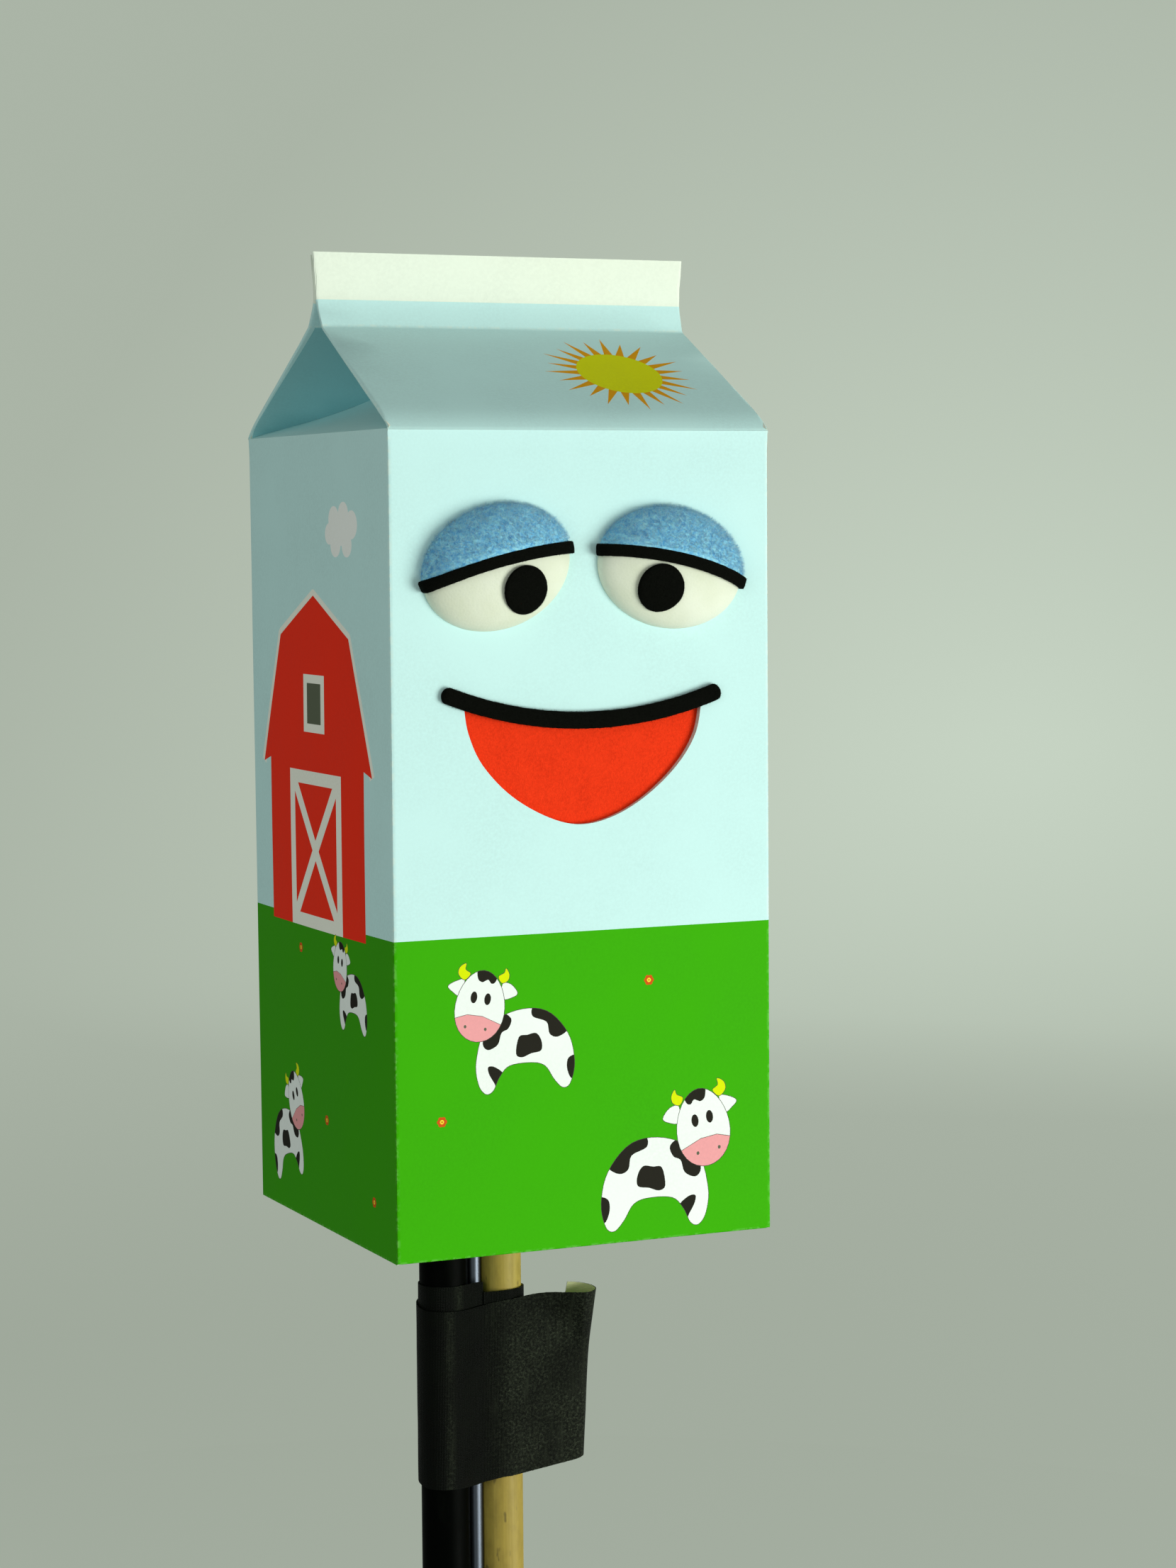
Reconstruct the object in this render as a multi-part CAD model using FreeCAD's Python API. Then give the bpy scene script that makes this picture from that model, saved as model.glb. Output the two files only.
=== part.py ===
"""Milk-carton rod puppet: a gable-top carton head on a bundle of three taped rods.

The head is laid out from the centre of the carton's floor: +X to the right seen from the
front, -Y out of the face, +Z up.  Every piece is then moved so that the centre of the black
tube's open lower end is the origin.  All sizes are millimetres.

The carton is one folded blank.  Each of its panels is a solid of its own, so that the head
stays hollow and the gable's pushed-in ends stay open.
"""
import FreeCAD, Part
import math
import os

from FreeCAD import Rotation, Vector

# ------------------------------------------------------------------ driving dimensions
INCH = 25.4

# carton: a stock 4 x 4 x 8 inch gable-top carton
CARTON_SIDE = 4 * INCH
CARTON_HEIGHT = 8 * INCH        # floor to shoulder
CARD = 0.5                      # coated card
FLOOR_THICK = 2 * CARD          # the floor flaps lie double
FLOOR_HOLE_GAP = 1.0            # between the rods and the hole in the floor
ROOF_RISE = 26.9                # shoulder to the foot of the fin
FIN_HEIGHT = 18.75
FIN_FLARE = 6.45                # height of the fin's unglued lower band
FIN_FOOT = 4.0                  # half the fin's spread at its foot
FIN_LAYERS = 4

# face
MOUTH_WIDTH = 64.0
MOUTH_FOOT_Z = 105.9            # lowest point of the cut-out
MOUTH_CORNER_Z = 136.3          # its two upper corners
MOUTH_DIP = 4.4                 # sag of its upper edge
STIFFENER = 1.0
FELT = 1.8                      # lip and mouth felt
LIP_SPAN = 72.0
LIP_END_Z = 138.0
LIP_DIP = 6.3
LIP_WIDTH = 4.2

EYE_LENGTH = 39.4
EYE_HEIGHT = 29.8
EYE_BULGE = 7.0
EYES = {"left": (-23.3, 170.2, 16.6), "right": (23.4, 169.6, -9.1)}     # x, z, tilt in degrees
PUPIL_RADIUS = 6.0
PUPIL_X = 18.1
PUPIL_Z = 164.1
PUPIL_FELT = 1.2
FLEECE = 2.0
LASH_WIDTH = 2.8
LASH_FELT = 2.2
LASH_ARC = ((-20.6, 0.9), (-1.5, 1.6), (20.0, -1.9))    # on the eye's own axes
GLUE = 0.1                      # film between glued pieces that aren't flat

# rods, side by side in a row parallel to the face
DOWEL_RADIUS = 7 / 16 * INCH / 2
STEEL_RADIUS = 5 / 32 * INCH / 2
TUBE_RADIUS = 1 / 2 * INCH / 2
TUBE_WALL = 1.4
DOWEL_X = -2.85                 # the dowel stands a little off the carton's centre
TUBE_FOOT = -190.0
DOWEL_FOOT = -178.0
STEEL_FOOT = -168.0
ROD_GAP = 0.05

# wooden holder inside the carton
BOARD_THICK = 6.0
BOARD_INSET = 0.4               # between the board's edge and the carton's wall
BLOCK = (60.0, 34.0, 45.0)
DOWEL_STAND_OUT = 8.0           # how far the dowel passes above the block
SHORT_ROD_DEPTH = 40.0          # how far the tube and the steel rod reach into it

# gaffer tape
TAPE_WIDTH = 47.0
TAPE_THICK = 0.3
TAPE_SLACK = 0.1                # between the tape and the rods
FIRST_STRIP_TOP = -17.9
WRAP_TOP = -21.0
WRAP_LAYERS = 2
FLAG_REACH = 18.9               # x of the centre of the curled end
FLAG_CURL = 5.0                 # radius of the curl
FLAG_TAIL = 1.0
FLAG_CREASE = 3.4               # x of the crease that the flag swings about
CREASE_GAP = 0.3
FLAG_TOP = -20.5

# ------------------------------------------------------------------ derived places
HALF = CARTON_SIDE / 2
RIDGE = CARTON_HEIGHT + ROOF_RISE
FIN_TOP = RIDGE + FIN_HEIGHT
FACE_Y = -HALF
ROOF_SLOPE = math.atan2(ROOF_RISE, HALF - FIN_FOOT)
GABLE_DROP = CARD / math.cos(math.atan2(ROOF_RISE, HALF))
STEEL_X = DOWEL_X - DOWEL_RADIUS - ROD_GAP - STEEL_RADIUS
TUBE_X = STEEL_X - STEEL_RADIUS - ROD_GAP - TUBE_RADIUS
BOARD_TOP = FLOOR_THICK + BOARD_THICK
BLOCK_TOP = BOARD_TOP + BLOCK[2]
SHORT_ROD_TOP = BOARD_TOP + SHORT_ROD_DEPTH
WRAP_OUTSIDE = TAPE_SLACK + TAPE_THICK * (1 + WRAP_LAYERS)
FLAG_Y = -DOWEL_RADIUS - WRAP_OUTSIDE + TAPE_THICK
ORIGIN = Vector(TUBE_X, 0, TUBE_FOOT)


# ------------------------------------------------------------------ small helpers
def box(low, high):
    size = Vector(*high) - Vector(*low)
    return Part.makeBox(size.x, size.y, size.z, Vector(*low))


def rod(x, radius, low, high):
    return Part.makeCylinder(radius, high - low, Vector(x, 0, low))


def polygon_face(points):
    return Part.Face(Part.makePolygon(list(points) + [points[0]]))


def arc(first, middle, last):
    return Part.Arc(first, middle, last).toShape()


def along_x(profile, x_low, x_high):
    """A solid with a (y, z) profile between two x values."""
    face = polygon_face([Vector(x_low, y, z) for y, z in profile])
    return face.extrude(Vector(x_high - x_low, 0, 0))


def through_face(face):
    """A cutter from a face drawn in front of the carton, deep enough for the front wall."""
    return face.extrude(Vector(0, 10, 0))


def front_point(x, z, y=FACE_Y):
    return Vector(x, y, z)


# ------------------------------------------------------------------ carton
def roof_inset(thickness):
    """How far the roof's underside stands in from its outside, measured along y."""
    return thickness / math.sin(ROOF_SLOPE)


def facing(shape, side):
    """A piece drawn for the +y half, or its mirror image for the -y half."""
    return shape if side == "back" else shape.mirror(Vector(), Vector(0, 1, 0))


def wall(side):
    """The front or the back panel."""
    panel = facing(box((-HALF, HALF - CARD, 0), (HALF, HALF, CARTON_HEIGHT)), side)
    if side == "front":
        panel = panel.cut(through_face(mouth_outline(FACE_Y - 5)))
    return panel


def side_wall(sign):
    """A side panel, between the front and the back ones."""
    low, high = sorted((sign * (HALF - CARD), sign * HALF))
    depth = HALF - CARD
    return box((low, -depth, 0), (high, depth, CARTON_HEIGHT - GABLE_DROP))


def carton_floor():
    reach = HALF - CARD
    floor = box((-reach, -reach, 0), (reach, reach, FLOOR_THICK))
    return floor.cut(bundle_column(FLOOR_HOLE_GAP, -1, FLOOR_THICK + 1))


def roof(side):
    """A roof slope, with the gable's flaps glued under it."""
    inset = roof_inset(2 * CARD)
    profile = [(HALF, CARTON_HEIGHT), (FIN_FOOT, RIDGE), (FIN_FOOT - inset, RIDGE), (HALF - inset, CARTON_HEIGHT)]
    return facing(along_x(profile, -HALF, HALF), side)


def gable(sign):
    """A pushed-in gable triangle: it climbs from the shoulder to the middle of the ridge."""
    inset = roof_inset(2 * CARD)
    foot_y = HALF - inset
    top_y = FIN_FOOT - inset
    x = sign * HALF
    top = polygon_face([
        Vector(x, -foot_y, CARTON_HEIGHT), Vector(x, foot_y, CARTON_HEIGHT),
        Vector(0, top_y, RIDGE), Vector(0, -top_y, RIDGE)])
    return top.extrude(Vector(0, 0, -GABLE_DROP))


def fin(side):
    """Half of the sealed fin: two of its four layers, which part below to meet the roof."""
    half = FIN_LAYERS * CARD / 2
    inset = roof_inset(2 * CARD)
    profile = [(FIN_FOOT, RIDGE), (half, RIDGE + FIN_FLARE), (half, FIN_TOP), (0, FIN_TOP),
               (0, RIDGE + FIN_FLARE), (FIN_FOOT - inset, RIDGE)]
    return facing(along_x(profile, -HALF, HALF), side)


# ------------------------------------------------------------------ outlines that pieces share
def mouth_outline(y):
    """The mouth cut-out: a sagging upper edge over a rounded shield."""
    half = MOUTH_WIDTH / 2
    depth = MOUTH_CORNER_Z - MOUTH_FOOT_Z
    left = front_point(-half, MOUTH_CORNER_Z, y)
    right = front_point(half, MOUTH_CORNER_Z, y)
    top = arc(left, front_point(0, MOUTH_CORNER_Z - MOUTH_DIP, y), right)
    sides = [(-0.94, 0.32), (-0.74, 0.58), (-0.42, 0.87), (-0.04, 1.0), (0.38, 0.87), (0.68, 0.6), (0.92, 0.32)]
    below = [front_point(half * u, MOUTH_CORNER_Z - depth * v, y) for u, v in sides]
    curve = Part.BSplineCurve()
    curve.interpolate([left] + below + [right])
    return Part.Face(Part.Wire([top, curve.toShape()]))


def bundle_face(offset, z):
    """A band pulled round the tube and the dowel, this far outside both."""
    big = TUBE_RADIUS + offset
    small = DOWEL_RADIUS + offset
    lean = math.asin((big - small) / (DOWEL_X - TUBE_X))
    edges = []
    corners = {}
    for side in (-1, 1):
        for name, x, radius in (("tube", TUBE_X, big), ("dowel", DOWEL_X, small)):
            corners[name, side] = Vector(
                x + radius * math.sin(lean), side * radius * math.cos(lean), z)
        edges.append(Part.makeLine(corners["tube", side], corners["dowel", side]))
    edges.append(arc(corners["tube", -1], Vector(TUBE_X - big, 0, z), corners["tube", 1]))
    edges.append(arc(corners["dowel", -1], Vector(DOWEL_X + small, 0, z), corners["dowel", 1]))
    return Part.Face(Part.Wire(Part.__sortEdges__(edges)))


def bundle_column(offset, low, high):
    return bundle_face(offset, low).extrude(Vector(0, 0, high - low))


# ------------------------------------------------------------------ mouth
def face_stiffener():
    back = FACE_Y + CARD
    board = box((-46, back, 96), (46, back + STIFFENER, 200))
    return board.cut(through_face(mouth_outline(FACE_Y - 5)))


def mouth_backing():
    front = FACE_Y + CARD + STIFFENER
    return box((-38, front, 99), (38, front + FELT, 143))


def upper_lip():
    """A felt strip along a sagging arc, with round ends."""
    middle_z = LIP_END_Z - LIP_DIP
    bend = (LIP_SPAN ** 2 / 4 + LIP_DIP ** 2) / (2 * LIP_DIP)
    centre = front_point(0, middle_z + bend)
    half_angle = math.asin(LIP_SPAN / 2 / bend)

    def on_arc(radius, angle):
        return centre + Vector(radius * math.sin(angle), 0, -radius * math.cos(angle))

    inner = bend - LIP_WIDTH / 2
    outer = bend + LIP_WIDTH / 2
    edges = [
        arc(on_arc(outer, -half_angle), on_arc(outer, 0), on_arc(outer, half_angle)),
        arc(on_arc(inner, -half_angle), on_arc(inner, 0), on_arc(inner, half_angle))]
    for side in (-1, 1):
        end = side * half_angle
        cap = on_arc(bend, end) + Vector(math.cos(end), 0, math.sin(end)) * side * LIP_WIDTH / 2
        edges.append(arc(on_arc(inner, end), cap, on_arc(outer, end)))
    strip = Part.Face(Part.Wire(Part.__sortEdges__(edges)))
    return strip.extrude(Vector(0, -FELT, 0))


# ------------------------------------------------------------------ eyes
def half_ellipsoid(grow):
    """An eye's dome, this much thicker all over, on its own axes with its back at z = 0."""
    scale = FreeCAD.Matrix()
    scale.scale(EYE_LENGTH / 2 + grow, EYE_HEIGHT / 2 + grow, EYE_BULGE + grow)
    whole = Part.makeSphere(1).transformGeometry(scale)
    return whole.common(box((-40, -40, 0), (40, 40, 40)))


def lash_circle():
    """Centre and radius of the arc that the lash line follows."""
    circle = arc(*[Vector(u, v, 0) for u, v in LASH_ARC]).Curve
    return circle.Center, circle.Radius


def lash_sector(low, high):
    """The space between two offsets from the lash arc, as wide as the lash is long."""
    centre, radius = lash_circle()
    first = Vector(*LASH_ARC[0], 0) - centre
    last = Vector(*LASH_ARC[-1], 0) - centre
    start = math.degrees(math.atan2(last.y, last.x))
    stop = math.degrees(math.atan2(first.y, first.x))
    pie = Part.makeCylinder(radius + high, 40, centre, Vector(0, 0, 1), stop - start)
    pie.rotate(centre, Vector(0, 0, 1), start)
    core = Part.makeCylinder(radius + low, 40, centre, Vector(0, 0, 1))
    return pie.cut(core)


def on_face(shape, side):
    """Lay a shape from an eye's own axes onto the carton's front."""
    x, z, tilt = EYES[side]
    shape.rotate(Vector(), Vector(0, 0, 1), tilt)
    shape.rotate(Vector(), Vector(1, 0, 0), 90)
    shape.translate(front_point(x, z))
    return shape


def eye_dome(side):
    return on_face(half_ellipsoid(0), side)


def eyelid(side):
    """The fleece over the upper part of an eye, down to the lash line."""
    centre, radius = lash_circle()
    shell = half_ellipsoid(FLEECE).cut(half_ellipsoid(GLUE))
    below = Part.makeCylinder(radius + LASH_WIDTH / 2 + GLUE, 40, centre)
    return on_face(shell.cut(below), side)


def lash_line(side):
    shell = half_ellipsoid(LASH_FELT).cut(half_ellipsoid(GLUE))
    return on_face(shell.common(lash_sector(-LASH_WIDTH / 2, LASH_WIDTH / 2)), side)


def pupil(side):
    shell = half_ellipsoid(PUPIL_FELT).cut(half_ellipsoid(GLUE))
    shell = on_face(shell, side)
    sign = -1 if side == "left" else 1
    punch = Part.makeCylinder(PUPIL_RADIUS, 20, front_point(sign * PUPIL_X, PUPIL_Z), Vector(0, -1, 0))
    return shell.common(punch)


# ------------------------------------------------------------------ rods and their holder
def base_board():
    reach = HALF - CARD - BOARD_INSET
    board = box((-reach, -reach, FLOOR_THICK), (reach, reach, BOARD_TOP))
    return board.cut(bundle_column(GLUE, 0, BOARD_TOP + 1))


def rod_block():
    """A block with one slot through it, which the row of rods is glued into."""
    middle = (TUBE_X + DOWEL_X) / 2
    half_x = BLOCK[0] / 2
    half_y = BLOCK[1] / 2
    block = box((middle - half_x, -half_y, BOARD_TOP), (middle + half_x, half_y, BLOCK_TOP))
    return block.cut(bundle_column(GLUE, BOARD_TOP - 1, BLOCK_TOP + 1))


def with_bevelled_ends(solid, size):
    ends = [edge for edge in solid.Edges if isinstance(edge.Curve, Part.Circle)]
    return solid.makeChamfer(size, ends)


def wooden_dowel():
    return with_bevelled_ends(rod(DOWEL_X, DOWEL_RADIUS, DOWEL_FOOT, BLOCK_TOP + DOWEL_STAND_OUT), 0.5)


def steel_rod():
    return with_bevelled_ends(rod(STEEL_X, STEEL_RADIUS, STEEL_FOOT, SHORT_ROD_TOP), 0.3)


def pole_tube():
    outside = rod(TUBE_X, TUBE_RADIUS, TUBE_FOOT, SHORT_ROD_TOP)
    return outside.cut(rod(TUBE_X, TUBE_RADIUS - TUBE_WALL, TUBE_FOOT, SHORT_ROD_TOP))


# ------------------------------------------------------------------ gaffer tape
def gaffer_first_strip():
    """The first turn of tape; its cut end lies where the steel rod meets the dowel."""
    low = FIRST_STRIP_TOP - TAPE_WIDTH
    band = bundle_column(TAPE_SLACK + TAPE_THICK, low, FIRST_STRIP_TOP)
    band = band.cut(bundle_column(TAPE_SLACK, low, FIRST_STRIP_TOP))
    seam = DOWEL_X - DOWEL_RADIUS
    return band.cut(box((seam, -20, low), (seam + 40, 0, FIRST_STRIP_TOP)))


def gaffer_wrap():
    """The outer turns, and the stretch of tape that leaves the dowel straight."""
    low = WRAP_TOP - TAPE_WIDTH
    band = bundle_column(WRAP_OUTSIDE, low, WRAP_TOP)
    stretch = box((DOWEL_X, FLAG_Y - TAPE_THICK, low), (FLAG_CREASE - CREASE_GAP, FLAG_Y, WRAP_TOP))
    return band.fuse(stretch).cut(bundle_column(WRAP_OUTSIDE - TAPE_THICK * WRAP_LAYERS, low, WRAP_TOP))


def gaffer_flag():
    """The tape's free end: a flat run that curls back on itself."""
    low = FLAG_TOP - TAPE_WIDTH
    edges = []
    turn_y = FLAG_Y + FLAG_CURL
    ends = []
    for offset in (0, -TAPE_THICK):
        radius = FLAG_CURL - offset
        crease = Vector(FLAG_CREASE, FLAG_Y + offset, low)
        front = Vector(FLAG_REACH, FLAG_Y + offset, low)
        outermost = Vector(FLAG_REACH + radius, turn_y, low)
        back = Vector(FLAG_REACH, turn_y + radius, low)
        tail = back - Vector(FLAG_TAIL, 0, 0)
        edges += [Part.makeLine(crease, front), arc(front, outermost, back), Part.makeLine(back, tail)]
        ends.append((crease, tail))
    for inner, outer in zip(*ends):
        edges.append(Part.makeLine(inner, outer))
    strip = Part.Face(Part.Wire(Part.__sortEdges__(edges)))
    return strip.extrude(Vector(0, 0, TAPE_WIDTH))


# ------------------------------------------------------------------ export
def pieces():
    named = {
        "carton_left": side_wall(-1),
        "carton_right": side_wall(1),
        "carton_floor": carton_floor(),
        "gable_left": gable(-1),
        "gable_right": gable(1),
        "face_stiffener": face_stiffener(),
        "mouth_backing": mouth_backing(),
        "upper_lip": upper_lip(),
        "base_board": base_board(),
        "rod_block": rod_block(),
        "wooden_dowel": wooden_dowel(),
        "steel_rod": steel_rod(),
        "pole_tube": pole_tube(),
        "gaffer_first_strip": gaffer_first_strip(),
        "gaffer_wrap": gaffer_wrap(),
        "gaffer_flag": gaffer_flag()}
    for side in ("front", "back"):
        named["carton_" + side] = wall(side)
        named["roof_" + side] = roof(side)
        named["fin_" + side] = fin(side)
    for side in EYES:
        for make in (eye_dome, eyelid, lash_line, pupil):
            named[make.__name__ + "_" + side] = make(side)
    return named


def main():
    os.makedirs("parts", exist_ok=True)
    for name, shape in pieces().items():
        shape.translate(-ORIGIN)
        if len(shape.Solids) != 1 or not shape.isValid():
            raise ValueError(name + " is not one valid solid")
        shape.Solids[0].exportStep("parts/" + name + ".step")
        size = shape.BoundBox
        print("%-20s %7.1f %7.1f %7.1f  volume %10.1f" % (
            name, size.XLength, size.YLength, size.ZLength, shape.Volume))


main()
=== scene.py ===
import math
import random

import bmesh
import bpy
from mathutils import Matrix, Vector, noise
from mathutils.geometry import delaunay_2d_cdt


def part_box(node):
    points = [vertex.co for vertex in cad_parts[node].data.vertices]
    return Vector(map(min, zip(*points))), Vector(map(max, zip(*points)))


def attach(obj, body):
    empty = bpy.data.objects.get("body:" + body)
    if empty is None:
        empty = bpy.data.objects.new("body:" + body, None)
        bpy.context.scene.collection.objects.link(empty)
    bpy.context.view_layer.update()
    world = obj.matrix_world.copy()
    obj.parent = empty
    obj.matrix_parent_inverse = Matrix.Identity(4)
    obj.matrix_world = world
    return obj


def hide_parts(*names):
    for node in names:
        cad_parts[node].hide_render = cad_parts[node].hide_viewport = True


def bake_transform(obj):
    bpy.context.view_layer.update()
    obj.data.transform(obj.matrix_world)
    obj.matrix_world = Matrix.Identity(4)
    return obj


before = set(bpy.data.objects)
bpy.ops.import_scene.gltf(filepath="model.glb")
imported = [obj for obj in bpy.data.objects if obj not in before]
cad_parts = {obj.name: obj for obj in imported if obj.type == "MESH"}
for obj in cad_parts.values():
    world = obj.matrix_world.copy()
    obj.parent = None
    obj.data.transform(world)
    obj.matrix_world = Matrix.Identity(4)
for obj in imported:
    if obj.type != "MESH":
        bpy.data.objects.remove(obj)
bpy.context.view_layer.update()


# ---------------------------------------------------------------- places taken from the CAD
# Lengths are millimetres.  The head is laid out from the middle of the carton's underside:
# x to the right seen from the front, -y out of the face, z up.
MM = 0.001


def cad_corners(node):
    return [Vector(corner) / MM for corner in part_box(node)]


floor_low, floor_high = cad_corners("carton_floor")
HEAD = Vector(((floor_low.x + floor_high.x) / 2, (floor_low.y + floor_high.y) / 2, floor_low.z))


def head_box(node):
    """A CAD node's lowest and highest corner, measured from the head's own origin."""
    return [corner - HEAD for corner in cad_corners(node)]


def metres(point):
    return (HEAD + Vector(point)) * MM


HALF = head_box("carton_front")[1].x
SHOULDER = head_box("carton_front")[1].z
RIDGE = head_box("roof_front")[1].z
FIN_TOP = head_box("fin_front")[1].z
FLOOR_THICK = head_box("carton_floor")[1].z
CARD = FLOOR_THICK / 2
FIN_FOOT = -head_box("fin_front")[0].y
FIN_FLARE = 6.45        # above the ridge the fin's two halves close over this height
WHITE_BAND = 12.2       # height of the pale band along the fin's top
HORIZON = 79.3          # height at which the printed meadow meets the sky

ROOF_SLOPE = math.atan2(RIDGE - SHOULDER, HALF - FIN_FOOT)
SIDE = 2 * HALF
CREASE = HALF / math.cos(ROOF_SLOPE)    # how far up the blank the gable's creases meet
ROOF_LENGTH = (HALF - FIN_FOOT) / math.cos(ROOF_SLOPE)

random.seed(11)


# ---------------------------------------------------------------- materials
def srgb(red, green, blue):
    """A colour given in the usual 0-255 steps, as the linear colour that shaders take."""
    def linear(step):
        c = step / 255
        return c / 12.92 if c <= 0.04045 else ((c + 0.055) / 1.055) ** 2.4
    return linear(red), linear(green), linear(blue), 1.0


def shade(colour, factor):
    return tuple(min(1.0, c * factor) for c in colour[:3]) + (1.0,)


class Look:
    """A material under construction."""

    def __init__(self, name, roughness=0.5, specular=0.5):
        self.material = bpy.data.materials.new(name)
        self.material.use_nodes = True
        self.tree = self.material.node_tree
        self.surface = self.tree.nodes["Principled BSDF"]
        self.set(Roughness=roughness, Specular_IOR_Level=specular)

    def feed(self, socket, value):
        if isinstance(value, bpy.types.NodeSocket):
            self.tree.links.new(value, socket)
        else:
            socket.default_value = value

    def set(self, **inputs):
        for name, value in inputs.items():
            self.feed(self.surface.inputs[name.replace("_", " ")], value)

    def node(self, kind, inputs=None, **settings):
        made = self.tree.nodes.new("ShaderNode" + kind)
        for key, value in settings.items():
            setattr(made, key, value)
        for key, value in (inputs or {}).items():
            self.feed(made.inputs[key], value)
        return made

    def place(self, stretch=(1, 1, 1), uv=False):
        """Where a point lies on its piece, in metres, or its UV place."""
        at = self.node("TexCoord").outputs["UV" if uv else "Object"]
        return self.node("Mapping", {"Vector": at, "Scale": stretch}).outputs[0]

    def noise(self, place, scale, detail=3.0, roughness=0.5):
        inputs = {"Vector": place, "Scale": scale, "Detail": detail, "Roughness": roughness}
        return self.node("TexNoise", inputs).outputs["Fac"]

    def wave(self, place, scale, distortion, detail=2.0, direction="X", **inputs):
        inputs.update({"Vector": place, "Scale": scale, "Distortion": distortion, "Detail": detail})
        return self.node("TexWave", inputs, bands_direction=direction).outputs["Fac"]

    def math(self, kind, a, b=0.0):
        return self.node("Math", {0: a, 1: b}, operation=kind).outputs[0]

    def times(self, a, b):
        return self.math("MULTIPLY", a, b)

    def between(self, value, low, high, to_low=0.0, to_high=1.0):
        made = self.node("MapRange", {"Value": value, "From Min": low, "From Max": high,
                                      "To Min": to_low, "To Max": to_high})
        return made.outputs[0]

    def mix(self, factor, a, b):
        made = self.node("Mix", data_type="RGBA")
        for index, value in ((0, factor), (6, a), (7, b)):
            self.feed(made.inputs[index], value)
        return made.outputs[2]

    def over(self, base, pattern, low, high, amount, colour):
        """Lay a colour over the base where the pattern is high, up to this amount."""
        return self.mix(self.between(pattern, low, high, 0, amount), base, colour)

    def finish(self, base, relief, depth, strength=1.0):
        """Set the colour, and a relief of this depth in millimetres."""
        made = self.node("Bump", {"Height": relief, "Distance": depth * MM, "Strength": strength})
        self.set(Base_Color=base, Normal=made.outputs[0])
        return self.material


def printed_card(name, colour):
    """Ink on coated card: faint mottling, paper tooth, pale fibres where a fold is worn, and along the ridge
    crease the same pale mark as a painted highlight.
    """
    look = Look(name, specular=0.03)
    place = look.place()
    mottle = look.noise(place, 45, 4)
    tooth = look.noise(place, 1400, 2)
    ink = look.mix(look.between(mottle, 0.3, 0.7), shade(colour, 0.965), shade(colour, 1.03))
    ink = look.over(ink, tooth, 0.35, 0.75, 1, shade(colour, 1.04))
    # This attribute marks card that is worn at the edges, foot and shoulder, and a painted highlight along
    # the ridge crease.
    rub_and_highlight = look.node("Attribute", attribute_name="lightening").outputs["Fac"]
    patchiness = look.between(look.noise(place, 620, 4, 0.65), 0.47, 0.6)
    pale = look.mix(0.3, shade(colour, 1.5), srgb(226, 238, 190))
    ink = look.mix(look.times(look.times(rub_and_highlight, patchiness), 0.45), ink, pale)
    look.set(Roughness=look.between(mottle, 0.2, 0.8, 0.55, 0.66))
    return look.finish(ink, look.math("ADD", tooth, look.times(mottle, 2.0)), 0.035, 0.5)


def bare_card():
    """The unprinted white inside of the carton, with loose fibres."""
    look = Look("bare_card", 0.75)
    fibres = look.noise(look.place((300, 300, 1800)), 1, 4)
    tone = look.noise(look.place(), 70, 3)
    return look.finish(look.mix(tone, srgb(222, 221, 206), srgb(240, 239, 228)), fibres, 0.03)


def cut_edge():
    """The edge where a blade has gone through the card: pale layers."""
    look = Look("cut_edge", 0.8)
    layers = look.noise(look.place((2500, 2500, 2500)), 1, 2)
    return look.finish(look.mix(layers, srgb(196, 205, 186), srgb(228, 232, 214)), layers, 0.04)


def grey_board():
    look = Look("grey_board", 0.85)
    flecks = look.noise(look.place(), 900, 5, 0.7)
    base = look.over(srgb(206, 208, 200), flecks, 0.35, 0.65, 1, srgb(232, 232, 226))
    return look.finish(base, flecks, 0.06)


def felt(name, colour):
    """Pressed fibres: a fine tangle of lighter and darker hairs, and a soft sheen."""
    look = Look(name, 0.95, 0.03)
    place = look.place()
    tangle = look.noise(place, 1500, 5, 0.7)
    clouds = look.noise(place, 140, 4)
    hairs = look.wave(place, 260, 18, 4, **{"Detail Scale": 3.0})
    base = look.over(shade(colour, 0.78), tangle, 0.3, 0.7, 1, shade(colour, 1.18))
    base = look.over(base, clouds, 0.35, 0.65, 0.35, shade(colour, 1.25))
    base = look.over(base, hairs, 0.8, 1.0, 0.3, shade(colour, 1.5))
    look.set(Sheen_Weight=0.025, Sheen_Roughness=0.45, Sheen_Tint=shade(colour, 1.6))
    return look.finish(base, look.math("ADD", tangle, look.times(hairs, 0.4)), 0.12)


def fleece(name, painted_sheen):
    """Polar fleece: matted tufts, whitish at the tips, and on the loose fibres a near-white painted sheen.
    """
    look = Look(name, 0.9, 0.2)
    place = look.place()
    tufts = look.noise(place, 900, 5, 0.75)
    patches = look.noise(place, 120, 3)
    own = look.node("NewGeometry").outputs["Random Per Island"]
    base = look.over(srgb(82, 170, 232), tufts, 0.35, 0.65, 1, srgb(176, 240, 255))
    base = look.over(base, patches, 0.4, 0.65, 0.3, srgb(136, 218, 255))
    # Painted sheen: each loose fibre is lightened towards near white by a random share, up to the given
    # amount, standing for the light the fuzz catches at the lids' edges.
    base = look.over(base, own, 0.3, 1.0, painted_sheen, srgb(222, 242, 248))
    look.set(Sheen_Weight=0.6, Sheen_Roughness=0.4, Sheen_Tint=srgb(190, 220, 240))
    return look.finish(base, tufts, 0.4)


def eye_foam():
    """Smooth closed-cell foam with tiny pores."""
    look = Look("eye_foam", 0.62)
    place = look.place()
    cells = look.node("TexVoronoi", {"Vector": place, "Scale": 1500}).outputs["Distance"]
    stain = look.noise(place, 70, 4)
    base = look.over(srgb(220, 224, 202), stain, 0.3, 0.7, 1, srgb(234, 237, 221))
    base = look.mix(look.between(cells, 0.0, 0.25, 0.25, 0), base, srgb(196, 202, 172))
    look.set(Subsurface_Weight=0.08, Subsurface_Radius=(0.002, 0.002, 0.0015))
    return look.finish(base, cells, 0.05, 0.6)


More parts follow.
